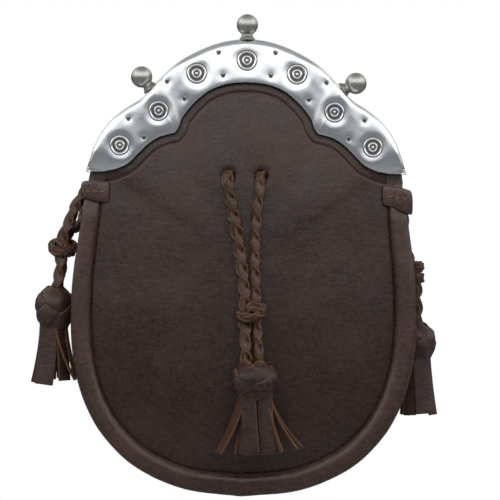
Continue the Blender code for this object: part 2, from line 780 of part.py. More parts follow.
def set_new_on(bm, tree, x, z):
    """Turns the newest geometry from +Z to the way the cantle's face looks at (x, z), and sets it there."""
    place, normal, _, _ = tree.ray_cast(Vector((x, -100, z)), Vector((0, 1, 0)))
    turn = Vector((0, 0, 1)).rotation_difference(normal).to_matrix()
    new = [v for v in bm.verts if not v.tag]
    bmesh.ops.rotate(bm, verts=new, cent=(0, 0, 0), matrix=turn)
    bmesh.ops.translate(bm, verts=new, vec=place)
    for v in new:
        v.tag = True


def add_ring(bm, radius, half_thick, sides):
    """A low ring about Z, whose lower half is to be sunk into the plate."""
    section = [(half_thick, RING_FOOT), (half_thick, RING_EDGE), (0.0, half_thick)]
    section += [(-half_thick, RING_EDGE), (-half_thick, RING_FOOT)]
    made = []
    for k in range(sides):
        turn = math.tau * k / sides
        way = Vector((math.cos(turn), math.sin(turn), 0))
        made.append([bm.verts.new(way * (radius + out) + Vector((0, 0, up))) for out, up in section])
    for first, second in zip(made, made[1:] + made[:1]):
        bridge(bm, second, first)


def make_finials():
    """Three balls on stems, which stand on the cantle's rim."""
    for name, x, z, lean in FINIALS:
        ball = []
        start = math.asin(FINIAL_STEM[-1][0] * 0.9 / FINIAL_BALL)
        for k in range(FINIAL_ROWS + 1):
            turn = start + (math.pi - start) * k / FINIAL_ROWS
            ball.append((FINIAL_BALL * math.sin(turn), FINIAL_BALL_HEIGHT - FINIAL_BALL * math.cos(turn)))
        ball[-1] = (0.0, ball[-1][1])
        bm = turned([(0.0, 0.0)] + FINIAL_STEM + ball, FINIAL_SIDES)
        way = Vector((math.sin(math.radians(lean)), 0, math.cos(math.radians(lean))))
        turn = Vector((0, 0, 1)).rotation_difference(way).to_matrix()
        bmesh.ops.rotate(bm, verts=bm.verts, cent=(0, 0, 0), matrix=turn)
        foot = Vector((x, FINIAL_Y, z)) + way * GAP
        bmesh.ops.translate(bm, verts=bm.verts, vec=foot)
        add_object(f"finial_{name}", bm, "dark_metal")


def thong(name, route):
    """A plain tube for a braid, its points read from a smooth curve through the route."""
    line = smooth_curve(route)
    length = sum((b - a).length for a, b in zip(line, line[1:]))
    points = resample(line, max(2, round(length / THONG_STEP)))
    tube(name, points, [THONG / 2] * len(points), "braid_leather")


def on_front(rows):
    """Points of (x, z, height in front of the leather) rows."""
    return [Vector((x, front_y(x, z) - height, z)) for x, z, height in rows]


def make_thongs():
    """Each thong is a loop through two holes, and two tails from its knot to its tassel."""
    routes = {
        "front": (on_front(FRONT_LOOP), [on_front(rows) for rows in FRONT_LOWER]),
        "left": (LEFT_LOOP, LEFT_LOWER),
        "right": (RIGHT_LOOP, RIGHT_LOWER),
    }
    for name, (loop, lower) in routes.items():
        thong(f"{name}_thong_loop", [Vector(p) for p in loop])
        for letter, rows in zip("ab", lower):
            thong(f"{name}_thong_tail_{letter}", [Vector(p) for p in rows])


def make_knots():
    """Lumps with slanting ridges, where a thong is knotted round itself."""
    for name, x, y, z, half_x, half_y, half_z, turn_z, tilt in KNOTS:
        bm = bmesh.new()
        bmesh.ops.create_uvsphere(
            bm, u_segments=KNOT_SIDES[0], v_segments=KNOT_SIDES[1], radius=1.0
        )
        for v in bm.verts:
            around = math.atan2(v.co.y, v.co.x)
            ridge = KNOT_RIDGE * math.cos(KNOT_TURNS * v.co.z * math.pi / 2 + around)
            corner = max(abs(v.co.x), abs(v.co.y)) ** 4 + abs(v.co.z) ** 4
            fill = min(corner**-0.25, KNOT_FILL)
            swell = ridge * math.hypot(v.co.x, v.co.y) - KNOT_RIDGE
            v.co.x *= fill * (half_x + swell)
            v.co.y *= fill * (half_y + swell)
            v.co.z *= half_z
        lean = Matrix.Rotation(math.radians(tilt), 3, "Y")
        spin = Matrix.Rotation(math.radians(turn_z), 3, "Z")
        bmesh.ops.rotate(bm, verts=bm.verts, cent=(0, 0, 0), matrix=spin @ lean)
        depth = front_y(x, z) - half_y - GAP if y is None else y
        bmesh.ops.translate(bm, verts=bm.verts, vec=(x, depth, z))
        add_object(f"{name}_knot", bm, "braid_leather")


def make_tassels():
    """Woven heads with their strips fused to them."""
    for name, x, y, top, half_x, half_y, height in TASSELS:
        middle_y = front_y(x, top - height / 2) - half_y - GAP if y is None else y
        centre = Vector((x, middle_y, top))
        profile = [(r, -h * height) for r, h in HEAD_PROFILE]
        profile = [(0.0, 0.0)] + profile + [(0.0, -height)]
        bm = turned(profile, HEAD_SIDES)
        bmesh.ops.scale(bm, vec=(half_x, half_y, 1), verts=bm.verts)
        bmesh.ops.translate(bm, verts=bm.verts, vec=centre)
        head = add_object(f"{name}_tassel", bm, "braid_leather")
        for k, row in enumerate(STRIPS[name]):
            bm = strip_shape(centre, half_x, half_y, height, *row)
            boolean(head, add_helper(f"{name}_strip_{k}", bm), "UNION")


def strip_shape(centre, half_x, half_y, height, direction, width, length, splay, face_turn):
    """One hanging strip, which starts inside the head and bends outwards as it falls."""
    angle = math.radians(direction)
    out = Vector((math.sin(angle), -math.cos(angle), 0))
    start = Vector((out.x * half_x, out.y * half_y, 0)) * STRIP_ROOT
    path = []
    stations = STRIP_STATIONS[splay > STRIP_FLARE]
    for k in range(stations + 1):
        share = k / stations
        fall = height * STRIP_TOP + (length + height * (1 - STRIP_TOP)) * share
        path.append(centre + start + out * splay * share**STRIP_CURVE - Vector((0, 0, fall)))
    face = angle + math.radians(face_turn)
    across = Vector((math.cos(face), math.sin(face), 0))
    return strap(path, across, width, STRIP_THICK)


def main():
    clear_scene()
    make_front_panel()
    make_gusset()
    make_back()
    make_edge_roll()
    make_keepers()
    make_strap_loops()
    make_cantle()
    make_finials()
    make_thongs()
    make_knots()
    make_tassels()


main()
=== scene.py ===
import math

import bmesh
import bpy
from mathutils import Matrix, Vector, noise
from mathutils.kdtree import KDTree


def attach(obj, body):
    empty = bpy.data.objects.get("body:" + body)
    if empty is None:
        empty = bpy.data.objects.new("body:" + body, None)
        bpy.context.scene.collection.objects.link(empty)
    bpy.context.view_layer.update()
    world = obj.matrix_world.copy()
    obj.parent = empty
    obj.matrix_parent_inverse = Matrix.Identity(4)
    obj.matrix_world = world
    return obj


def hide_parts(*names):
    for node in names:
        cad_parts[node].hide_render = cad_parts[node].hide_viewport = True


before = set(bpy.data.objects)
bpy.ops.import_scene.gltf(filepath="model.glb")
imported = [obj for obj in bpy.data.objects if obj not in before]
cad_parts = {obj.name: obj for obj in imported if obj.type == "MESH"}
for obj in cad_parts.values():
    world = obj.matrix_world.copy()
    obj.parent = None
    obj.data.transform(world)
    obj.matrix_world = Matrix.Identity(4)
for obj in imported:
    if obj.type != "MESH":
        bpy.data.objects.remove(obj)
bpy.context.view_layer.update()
mm = 0.001  # every size below is in millimetres

# The camera stands square in front of the bag. planeY is where one frame is frameWidth wide.
view = {"distance": 1600, "planeY": -28, "aimX": 2.3, "aimZ": -30, "frameWidth": 250, "roll": -0.5}

camera = bpy.data.objects.new("camera", bpy.data.cameras.new("camera"))
camera.data.sensor_width = 36
camera.data.lens = 36 * view["distance"] / view["frameWidth"]
camera.location = Vector((view["aimX"], view["planeY"] - view["distance"], view["aimZ"])) * mm
camera.rotation_euler = (math.radians(90), math.radians(view["roll"]), 0)
bpy.context.scene.collection.objects.link(camera)
bpy.context.scene.camera = camera
bpy.context.scene.view_settings.view_transform = "Standard"
print("camera set")

# The bag's front seam, half of it from the bottom to the top, and the dome of the front.
bag = {
    "wall": 2.2,
    "depthTop": 27.0,
    "depthBottom": 35.0,
    "rise": 8.0,
    "risePower": 2.6,
    "edgeDrop": 0.5,
    "edgeWidth": 0.007,
    "drift": -1.0,  # the lower part hangs a little to the left
    "driftFrom": (12.0, -25.0),
    "flatFrom": (-4.0, 3.0),  # heights where the roll turns flat and the edge stops dropping
    "flatDrop": 0.2,
    "centreZ": -38.0,
    "spokes": 240,
    "seam": [
        (0.0, -142.2), (26.0, -139.3), (47.5, -130.0), (61.0, -117.5), (68.6, -105.0), (73.0, -92.5),
        (75.4, -80.0), (76.3, -67.5), (76.3, -55.0), (75.8, -42.5), (74.6, -30.0), (73.2, -17.5),
        (72.4, -7.0), (71.0, 1.0), (70.0, 8.0), (70.5, 14.0), (69.5, 20.0), (66.3, 26.5), (61.5, 32.0),
        (56.0, 36.3), (50.5, 39.5), (45.5, 43.0), (41.5, 47.5), (38.0, 52.0), (33.5, 57.0), (27.5, 62.0),
        (21.0, 66.0), (14.0, 69.0), (7.0, 70.6), (0.0, 71.0),
    ],
}


def smoothCurve(points, steps=8):
    # a smooth line through every point
    given = [Vector(p) for p in points]
    given = [2 * given[0] - given[1]] + given + [2 * given[-1] - given[-2]]
    found = []
    for a, b, c, d in zip(given, given[1:], given[2:], given[3:]):
        for k in range(steps):
            t = k / steps
            bend = (2 * a - 5 * b + 4 * c - d) * t * t + (3 * b - a - 3 * c + d) * t**3
            found.append(0.5 * (2 * b + (c - a) * t + bend))
    return found + [given[-2]]


def resample(points, count):
    reached = [0.0]
    for a, b in zip(points, points[1:]):
        reached.append(reached[-1] + (b - a).length)
    found, i = [], 1
    for k in range(count + 1):
        wanted = reached[-1] * k / count
        while i < len(reached) - 1 and reached[i] < wanted:
            i += 1
        share = (wanted - reached[i - 1]) / max(reached[i] - reached[i - 1], 1e-9)
        found.append(points[i - 1].lerp(points[i], share))
    return found


def lineLength(points):
    return sum((b - a).length for a, b in zip(points, points[1:]))


def readRow(rows, at):
    if at <= rows[0][0]:
        return rows[0][1]
    for (x0, y0), (x1, y1) in zip(rows, rows[1:]):
        if at <= x1:
            return y0 + (y1 - y0) * (at - x0) / (x1 - x0)
    return rows[-1][1]


def easeStep(low, high, at):
    t = min(max((at - low) / (high - low), 0.0), 1.0)
    return t * t * (3 - 2 * t)


def hung(p):
    return Vector((p.x + bag["drift"] * easeStep(*bag["driftFrom"], p.y), p.y))


seamHalf = resample(smoothCurve(bag["seam"]), bag["spokes"] // 2)
seam = [hung(p) for p in seamHalf] + [hung(Vector((-p.x, p.y))) for p in seamHalf[-2:0:-1]]
seamOut = []
for i in range(len(seam)):
    run = seam[(i + 1) % len(seam)] - seam[i - 1]
    seamOut.append(Vector((run.y, -run.x)).normalized())


def seamDepth(z):
    top, bottom = bag["seam"][-1][1], bag["seam"][0][1]
    return bag["depthTop"] + (bag["depthBottom"] - bag["depthTop"]) * (top - z) / (top - bottom)


def domeY(share, z):
    rise = bag["rise"] * (1 - share ** bag["risePower"])
    drop = bag["edgeDrop"] * math.exp(-abs(1 - share) / bag["edgeWidth"])
    drop *= 1 - easeStep(*bag["flatFrom"], z) * (1 - bag["flatDrop"])
    return -(seamDepth(z) + rise - drop)


def frontY(x, z):
    # the front leather's outer face at x, z
    place = Vector((abs(x), z - bag["centreZ"]))
    ray = place.normalized() if place.length > 1e-6 else Vector((0, 1))
    for a, b in zip(seamHalf, seamHalf[1:]):
        start, side = Vector((a.x, a.y - bag["centreZ"])), b - a
        across = ray.x * side.y - ray.y * side.x
        if abs(across) < 1e-9:
            continue
        far = (start.x * side.y - start.y * side.x) / across
        part = (start.x * ray.y - start.y * ray.x) / across
        if far > 0 and -1e-6 <= part <= 1 + 1e-6:
            return domeY(place.length / far, z)
    return domeY(1.0, z)


def onFront(rows):
    return [Vector((x, frontY(x, z) - height, z)) for x, z, height in rows]


def ruffle(place, size, amount):
    # slow unevenness, the same each time
    return noise.noise(place / size) * amount


# Shader helpers. A value is a number, a colour or another node's output.


def feed(tree, node, values):
    for key, value in values.items():
        if isinstance(value, bpy.types.NodeSocket):
            tree.links.new(value, node.inputs[key])
        else:
            node.inputs[key].default_value = value
    return node


def addNode(tree, kind, values=None, **settings):
    node = tree.nodes.new("ShaderNode" + kind)
    for key, value in settings.items():
        setattr(node, key, value)
    return feed(tree, node, values or {})


def mixColour(tree, fac, a, b, blend="MIX"):
    return addNode(tree, "Mix", {0: fac, 6: a, 7: b}, data_type="RGBA", blend_type=blend).outputs[2]


def calc(tree, operation, a, b=0.0, c=0.0):
    return addNode(tree, "Math", {0: a, 1: b, 2: c}, operation=operation).outputs[0]


def noiseOf(tree, place, scale, detail, roughness=0.5, distortion=0.0):
    values = {"Vector": place, "Scale": scale, "Detail": detail}
    values.update({"Roughness": roughness, "Distortion": distortion})
    return addNode(tree, "TexNoise", values).outputs["Fac"]


def layerOf(tree, name):
    # a value that the mesh holds at its vertices
    return addNode(tree, "Attribute", attribute_name=name).outputs["Fac"]


def ramp(tree, fac, stops):
    node = addNode(tree, "ValToRGB", {"Fac": fac})
    line = node.color_ramp
    while len(line.elements) < len(stops):
        line.elements.new(0.5)
    for element, (place, level) in zip(line.elements, stops):
        element.position = place
        element.color = level if isinstance(level, tuple) else (level, level, level, 1)
    return node.outputs["Color"]


def newGroup(name, inputs, outputs):
    tree = bpy.data.node_groups.new(name, "ShaderNodeTree")
    for label, kind, value in inputs:
        socket = tree.interface.new_socket(label, in_out="INPUT", socket_type=f"NodeSocket{kind}")
        if value is not None:
            socket.default_value = value
    for label, kind in outputs:
        tree.interface.new_socket(label, in_out="OUTPUT", socket_type=f"NodeSocket{kind}")
    return tree, tree.nodes.new("NodeGroupInput").outputs, tree.nodes.new("NodeGroupOutput")


# Grain of smooth leather: tiny pebbles, soft creases and slow mottling.
tree, gets, gives = newGroup(
    "leatherGrain",
    [("Place", "Vector", None), ("Pebble", "Float", 1500.0), ("Crease", "Float", 220.0)],
    [("Height", "Float"), ("Mottle", "Float"), ("Blotch", "Float"), ("Scuff", "Float")],
)
place = gets["Place"]
pebble = addNode(tree, "TexVoronoi", {"Vector": place, "Scale": gets["Pebble"]}, feature="SMOOTH_F1")
crease = noiseOf(tree, place, gets["Crease"], 5.0, 0.62, 0.6)
valley = calc(tree, "ABSOLUTE", calc(tree, "SUBTRACT", crease, 0.5))
mottle = noiseOf(tree, place, 26.0, 4.0, 0.6)
fine = noiseOf(tree, place, 700.0, 3.0, 0.7)
stretched = addNode(tree, "VectorMath", {0: place, 1: (0.3, 1.0, 1.0)}, operation="MULTIPLY")
streak = noiseOf(tree, stretched.outputs[0], 620.0, 2.0)
tall = calc(tree, "MULTIPLY_ADD", pebble.outputs["Distance"], 0.5, calc(tree, "MULTIPLY", valley, 0.9))
tall = calc(tree, "MULTIPLY_ADD", fine, 0.45, tall)
tall = calc(tree, "MULTIPLY_ADD", streak, 0.8, tall)
mixed = calc(tree, "MULTIPLY_ADD", streak, 0.6, calc(tree, "MULTIPLY", fine, 0.4))
blotch = calc(tree, "MULTIPLY_ADD", mixed, 0.6, calc(tree, "MULTIPLY", mottle, 0.4))
scuff = ramp(tree, fine, [(0.45, 0.0), (0.72, 1.0)])
feed(tree, gives, {"Height": tall, "Mottle": mottle, "Blotch": blotch, "Scuff": scuff})

# Unevenness of cast and polished metal: shallow dents, haze and hairlines.
tree, gets, gives = newGroup(
    "castMetal",
    [("Place", "Vector", None), ("Dents", "Float", 120.0), ("Hair", "Float", 900.0)],
    [("Height", "Float"), ("Haze", "Float"), ("Grime", "Float")],
)
dents = noiseOf(tree, gets["Place"], gets["Dents"], 2.0)
hair = noiseOf(tree, gets["Place"], gets["Hair"], 4.0)
haze = noiseOf(tree, gets["Place"], 45.0, 5.0, 0.65)
tall = calc(tree, "MULTIPLY_ADD", hair, 0.06, dents)
grime = ramp(tree, hair, [(0.5, 0.0), (0.75, 1.0)])
feed(tree, gives, {"Height": tall, "Haze": haze, "Grime": grime})


def newMaterial(name, roughness, metallic=0.0, shine=0.5):
    made = bpy.data.materials.new(name)
    made.use_nodes = True
    tree = made.node_tree
    shader = tree.nodes["Principled BSDF"]
    feed(tree, shader, {"Roughness": roughness, "Metallic": metallic, "Specular IOR Level": shine})
    return made, tree, shader, addNode(tree, "TexCoord").outputs["Object"]


def useGroup(tree, name, values):
    return addNode(tree, "Group", node_tree=bpy.data.node_groups[name], values=values).outputs


def dress(tree, shader, colour, rough, height, strength, distance):
    bump = addNode(tree, "Bump", {"Height": height, "Strength": strength, "Distance": distance * mm})
    feed(tree, shader, {"Base Color": colour, "Roughness": rough, "Normal": bump.outputs["Normal"]})


leatherLook = {
    "dark": (0.0088, 0.0043, 0.0033),
    "light": (0.0280, 0.0146, 0.0115),
    "blotch": [(0.33, 0.0), (0.67, 1.0)],
    "worn": (0.060, 0.038, 0.030, 1),
    "tooled": (0.032, 0.014, 0.0095, 1),
    "tooledShare": 0.6,
    "tooledMask": [(0.25, 1.0), (0.85, 0.0)],  # by distance from the middle of the line, in mm
    "roughness": 0.27,
    "roughSpread": 0.22,
    "shine": 0.37,
    "bumpDeep": 0.14,
}
# The line pressed beside the cantle: distance from its edge, depth, half width, and the swell
# between the two with the width that it rises over. Above topZ the cantle hides the leather.
tooledLine = {"away": 4.9, "deep": 0.22, "half": 0.7, "swell": 0.3, "swellWidth": 1.6, "topZ": 52.0}


def leatherMaterial(name, pebble=1500.0, crease=220.0, bump=0.45, worn=0.25, tooled=False, tint=1.0):
    made, tree, shader, place = newMaterial(name, leatherLook["roughness"], shine=leatherLook["shine"])
    grain = useGroup(tree, "leatherGrain", {"Place": place, "Pebble": pebble, "Crease": crease})
    dark, light = (tuple(c * tint for c in leatherLook[key]) + (1,) for key in ("dark", "light"))
    colour = mixColour(tree, ramp(tree, grain["Blotch"], leatherLook["blotch"]), dark, light)
    colour = mixColour(tree, calc(tree, "MULTIPLY", grain["Scuff"], worn), colour, leatherLook["worn"])
    height = grain["Height"]
    if tooled:
        # the pressed line runs at a fixed distance from the cantle's edge
        off = calc(tree, "SUBTRACT", layerOf(tree, "edgeDistance"), tooledLine["away"])
        mask = ramp(tree, calc(tree, "ABSOLUTE", off), leatherLook["tooledMask"])
        share = calc(tree, "MULTIPLY", mask, leatherLook["tooledShare"])
        colour = mixColour(tree, share, colour, leatherLook["tooled"])
        height = calc(tree, "MULTIPLY_ADD", mask, -0.8, height)
    spread = leatherLook["roughSpread"]
    rough = calc(tree, "MULTIPLY_ADD", grain["Mottle"], spread, leatherLook["roughness"] - spread / 2)
    dress(tree, shader, colour, rough, height, bump, leatherLook["bumpDeep"])
    return made


frontFinish = leatherMaterial("frontLeather", tooled=True)
rollFinish = leatherMaterial("rollLeather", crease=150.0, bump=0.5, worn=0.35, tint=1.6)
sideFinish = leatherMaterial("sideLeather", crease=180.0, bump=0.55, worn=0.3)
strapFinish = leatherMaterial("strapLeather", pebble=1300.0, bump=0.5, worn=0.9, tint=1.6)

# Strips of the thongs and tassels: grain side, orange-brown flesh side and tan cut edges.
stripLook = {
    "pebble": 1700.0,
    "crease": 260.0,
    "fray": 800.0,
    "blotch": [(0.4, 0.0), (0.6, 1.0)],
    "flesh": (0.030, 0.0105, 0.0045, 1),
    "cut": (0.085, 0.040, 0.018, 1),
    "scuff": 0.3,
    "roughness": 0.4,
    "bareRough": 0.4,
    "shine": 0.34,
    "bump": 0.6,
    "bumpDeep": 0.18,
}


def stripMaterial(name, grainSide, grainDark, frayLeast):
    made, tree, shader, place = newMaterial(name, stripLook["roughness"], shine=stripLook["shine"])
    size = {"Pebble": stripLook["pebble"], "Crease": stripLook["crease"]}
    grain = useGroup(tree, "leatherGrain", {"Place": place, **size})
    colour = mixColour(tree, ramp(tree, grain["Blotch"], stripLook["blotch"]), grainDark, grainSide)
    scuff = calc(tree, "MULTIPLY", grain["Scuff"], stripLook["scuff"])
    colour = mixColour(tree, scuff, colour, stripLook["flesh"])
    flesh, cut = layerOf(tree, "flesh"), layerOf(tree, "cut")
    colour = mixColour(tree, flesh, colour, stripLook["flesh"])
    frayed = noiseOf(tree, place, stripLook["fray"], 3.0)
    cutMask = calc(tree, "MULTIPLY", cut, ramp(tree, frayed, [(0.3, frayLeast), (0.62, 1.0)]))
    colour = mixColour(tree, cutMask, colour, stripLook["cut"])
    bare = calc(tree, "MAXIMUM", cut, flesh)
    rough = calc(tree, "MULTIPLY_ADD", bare, stripLook["bareRough"], stripLook["roughness"])
    height = calc(tree, "MULTIPLY_ADD", frayed, 0.5, grain["Height"])
    dress(tree, shader, colour, rough, height, stripLook["bump"], stripLook["bumpDeep"])
    return made


plaitFinish = stripMaterial("plaitLeather", (0.052, 0.029, 0.0187, 1), (0.022, 0.0115, 0.0076, 1), 0.2)
stripFinish = stripMaterial("stripLeather", (0.036, 0.019, 0.0162, 1), (0.0115, 0.0056, 0.0046, 1), 0.65)

threadFinish, tree, shader, place = newMaterial("tanThread", 0.65)
fibres = noiseOf(tree, place, 2500.0, 2.0)
colour = mixColour(tree, fibres, (0.10, 0.055, 0.028, 1), (0.20, 0.115, 0.06, 1))
dress(tree, shader, colour, 0.65, fibres, 0.5, 0.1)


metalLook = {"grime": (0.125, 0.108, 0.098, 1), "grimeRough": 0.3, "roughSpread": 0.16, "bump": 0.5}


def metalMaterial(name, bright, dull, roughness, dents, dentDeep, grime):
    made, tree, shader, place = newMaterial(name, roughness, 1.0)
    cast = useGroup(tree, "castMetal", {"Place": place, "Dents": dents})
    low = layerOf(tree, "recess")
    dirt = calc(tree, "MAXIMUM", low, calc(tree, "MULTIPLY", cast["Grime"], grime))
    colour = mixColour(tree, dirt, mixColour(tree, cast["Haze"], bright, dull), metalLook["grime"])
    spread = metalLook["roughSpread"]
    rough = calc(tree, "MULTIPLY_ADD", cast["Haze"], spread, roughness - spread / 2)
    rough = calc(tree, "MULTIPLY_ADD", low, metalLook["grimeRough"], rough)
    dress(tree, shader, colour, rough, cast["Height"], metalLook["bump"], dentDeep)
    return made


cantleFinish = metalMaterial(
    "polishedCast",
    bright=(0.84, 0.86, 0.88, 1),
    dull=(0.73, 0.75, 0.77, 1),
    roughness=0.2,
    dents=90.0,
    dentDeep=0.25,
    grime=0.05,
)
finialFinish = metalMaterial(
    "dullCast",
    bright=(0.55, 0.55, 0.52, 1),
    dull=(0.39, 0.39, 0.365, 1),
    roughness=0.37,
    dents=240.0,
    dentDeep=0.15,
    grime=0.3,
)
print("finishes made")

# Modelling helpers. A tube blank is a straight tube whose vertices are then laid along a line.


def tubeBlank(sides, steps, caps=True, layers=()):
    bm = bmesh.new()
    for layer in layers:
        bm.verts.layers.float.new(layer)
    bmesh.ops.create_cone(bm, cap_ends=caps, segments=sides, radius1=1, radius2=1, depth=1)
    long = [e for e in bm.edges if abs(e.verts[0].co.z - e.verts[1].co.z) > 0.5]
    bmesh.ops.subdivide_edges(bm, edges=long, cuts=steps - 1, use_grid_fill=True)
    spots = []
    for v in bm.verts:
        side = round(math.atan2(v.co.x, v.co.y) / math.tau * sides) % sides
        spots.append((v, side, round((v.co.z + 0.5) * steps)))
    return bm, spots


def pour(into, part):
    mesh = bpy.data.meshes.new("pour")
    part.to_mesh(mesh)
    part.free()
    into.from_mesh(mesh)
    bpy.data.meshes.remove(mesh)


def turned(profile, steps):
    # a profile of (radius, height) rows spun about Z
    bm = bmesh.new()
    verts = [bm.verts.new((r, 0, h)) for r, h in profile]
    edges = [bm.edges.new(pair) for pair in zip(verts, verts[1:])]
    bmesh.ops.spin(
        bm, geom=verts + edges, axis=(0, 0, 1), cent=(0, 0, 0), angle=math.tau, steps=steps, use_merge=True
    )
    bmesh.ops.remove_doubles(bm, verts=bm.verts, dist=1e-4)
    return bm


def disc(rings, spokes, ringShare):
    # a round sheet: a spoke spun about Y, read as (vertex, spoke, share of the way out)
    bm = bmesh.new()
    ends = [bm.verts.new((0, 0, 0)), bm.verts.new((1, 0, 0))]
    edge = bm.edges.new(ends)
    bmesh.ops.subdivide_edges(bm, edges=[edge], cuts=rings - 1)
    spoke = bm.verts[:] + bm.edges[:]
    bmesh.ops.spin(
        bm, geom=spoke, axis=(0, -1, 0), cent=(0, 0, 0), angle=math.tau, steps=spokes, use_merge=True
    )
    bmesh.ops.remove_doubles(bm, verts=bm.verts, dist=1e-5)
    spots = []
    for v in bm.verts:
        spoke = round(math.atan2(v.co.z, v.co.x) / math.tau * spokes) % spokes
        spots.append((v, spoke, ringShare(min(v.co.length, 1.0))))
    return bm, spots


def refine(bm, wanted, rounds):
    for _ in range(rounds):
        edges = dict.fromkeys(e for f in bm.faces if wanted(f.calc_center_median()) for e in f.edges)
        bmesh.ops.subdivide_edges(bm, edges=list(edges), cuts=1, use_grid_fill=True)
    bmesh.ops.triangulate(bm, faces=[f for f in bm.faces if len(f.verts) > 4])


def punch(bm, centre, axis, radius, lip, lipWidth=0.9, worked=3.0, reach=12.0):
    # a round hole with a pressed-in lip, through an open sheet
    axis = Vector(axis).normalized()
    centre = Vector(centre)

    def away(p):
        return (p - centre - axis * (p - centre).dot(axis)).length

    def close(p):
        return away(p) < radius + worked and abs((p - centre).dot(axis)) < reach

    refine(bm, close, 2)
    gone = [f for f in bm.faces if close(f.calc_center_median()) and away(f.calc_center_median()) < radius]
    bmesh.ops.delete(bm, geom=gone, context="FACES")
    for v in bm.verts:
        if close(v.co):
            far = away(v.co)
            if v.is_boundary:
                flat = centre + axis * (v.co - centre).dot(axis)
                v.co = flat + (v.co - flat).normalized() * radius
                far = radius
            v.co += axis * lip * math.exp(-max(far - radius, 0) / lipWidth)


def turnTo(way):
    return Vector((0, 0, 1)).rotation_difference(Vector(way)).to_matrix()


def showTo(bm, way, rank=None):
    # turns an open sheet over if its first face, or the one with the least rank, looks away from way
    bm.normal_update()
    bm.faces.ensure_lookup_table()
    face = min(bm.faces, key=rank) if rank else bm.faces[0]
    if face.normal.dot(Vector(way)) < 0:
        bmesh.ops.reverse_faces(bm, faces=bm.faces)


def finishPiece(name, bm, finish, nodes=(), outward=True):
    if outward:
        bmesh.ops.recalc_face_normals(bm, faces=bm.faces)
    bmesh.ops.scale(bm, vec=(mm, mm, mm), verts=bm.verts)
    mesh = bpy.data.meshes.new(name)
    bm.to_mesh(mesh)
    bm.free()
    mesh.materials.append(finish)
    mesh.shade_smooth()
    piece = bpy.data.objects.new(name, mesh)
    bpy.context.scene.collection.objects.link(piece)
    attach(piece, "root")
    if nodes:
        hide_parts(*nodes)
    return piece


def finishSheet(name, bm, finish, node, thick, way, rank=None):
    # an open sheet whose face looks to way, with the leather's thickness behind it
    showTo(bm, way, rank)
    piece = finishPiece(name, bm, finish, (node,), outward=False)
    change = piece.modifiers.new("wall", "SOLIDIFY")
    change.thickness = thick * mm
    change.offset = -1.0
    change.use_even_offset = False


def seated(centre, along, out, size):
    # a matrix that lays a unit shape on a surface: long, wide and high
    across = out.cross(along).normalized()
    out = along.cross(across).normalized()
    turn = Matrix((along * size[0], across * size[1], out * size[2])).transposed().to_4x4()
    return Matrix.Translation(centre) @ turn


# Three flat strips plaited together. across and deep are how far a strip's middle swings.
plaitShape = {
    "period": 27.0,
    "across": 1.35,
    "deep": 1.08,
    "halfWidth": 2.35,
    "halfThick": 0.6,
    "bank": 70.0,
    "wander": 14.0,  # degrees that the plait turns to and fro about its line
    "tilt": 0.5,  # radians that a strip rolls about its own line
    "core": 1.25,  # a plain cord inside closes the gaps between the strips
    "coreSides": 8,
    "uneven": 0.16,
    "step": 0.9,
    "strands": 3,
}
knotShape = dict(plaitShape, bank=38.0, core=1.9, deep=0.8, halfWidth=2.5, wander=0.0)
knotScale = 0.92
# A strip's section: side, distance in from the edge, height, and how much of it is cut edge.
stripSection = [(0, 0, 1, 0), (1, 0.9, 0.98, 0), (1, 0.42, 0.82, 0.1), (1, 0.1, 0.45, 0.9), (1, 0, -0.2, 1)]
stripSection += [(1, 0.12, -0.85, 1), (1, 0.5, -1, 0.1), (0, 0, -1, 0)]
stripSection += [(-side, inset, high, cut) for side, inset, high, cut in stripSection[-2:0:-1]]


def newStrips():
    bm = bmesh.new()
    bm.verts.layers.float.new("cut")
    bm.verts.layers.float.new("flesh")
    return bm


def layStrip(into, stations, flip=False, place=None):
    # each station is (middle, across, out, half width, half thickness, bare end). place, if given,
    # lays the strip itself, so that only the last three are read.
    bm, spots = tubeBlank(len(stripSection), len(stations) - 1, layers=("cut", "flesh"))
    cutLayer, fleshLayer = bm.verts.layers.float["cut"], bm.verts.layers.float["flesh"]
    for v, side, step in spots:
        middle, across, out, halfWidth, halfThick, bare = stations[step]
        hand, inset, high, edge = stripSection[side]
        u = hand * (halfWidth - min(inset, halfWidth * 0.6))
        if place:
            v.co = place(step, u, high * halfThick)
        else:
            v.co = middle + across * u + out * (high * halfThick)
        v[cutLayer] = max(edge, bare)
        v[fleshLayer] = float((high < -0.5) != flip)
    bmesh.ops.recalc_face_normals(bm, faces=bm.faces)
    pour(into, bm)


def framesAlong(points, outs):
    # points with their direction and the way out, carried along the line from its end
    found = []
    out = outs if isinstance(outs, Vector) else None
    last = len(points) - 1
    for i in range(last, -1, -1):
        along = (points[min(i + 1, last)] - points[max(i - 1, 0)]).normalized()
        if out is None:
            way = outs[i]
        else:
            if found:
                out = found[-1][1].rotation_difference(along) @ out
            way = out
        way = (way - along * along.dot(way)).normalized()
        found.append((points[i], along, way))
    return found[::-1]


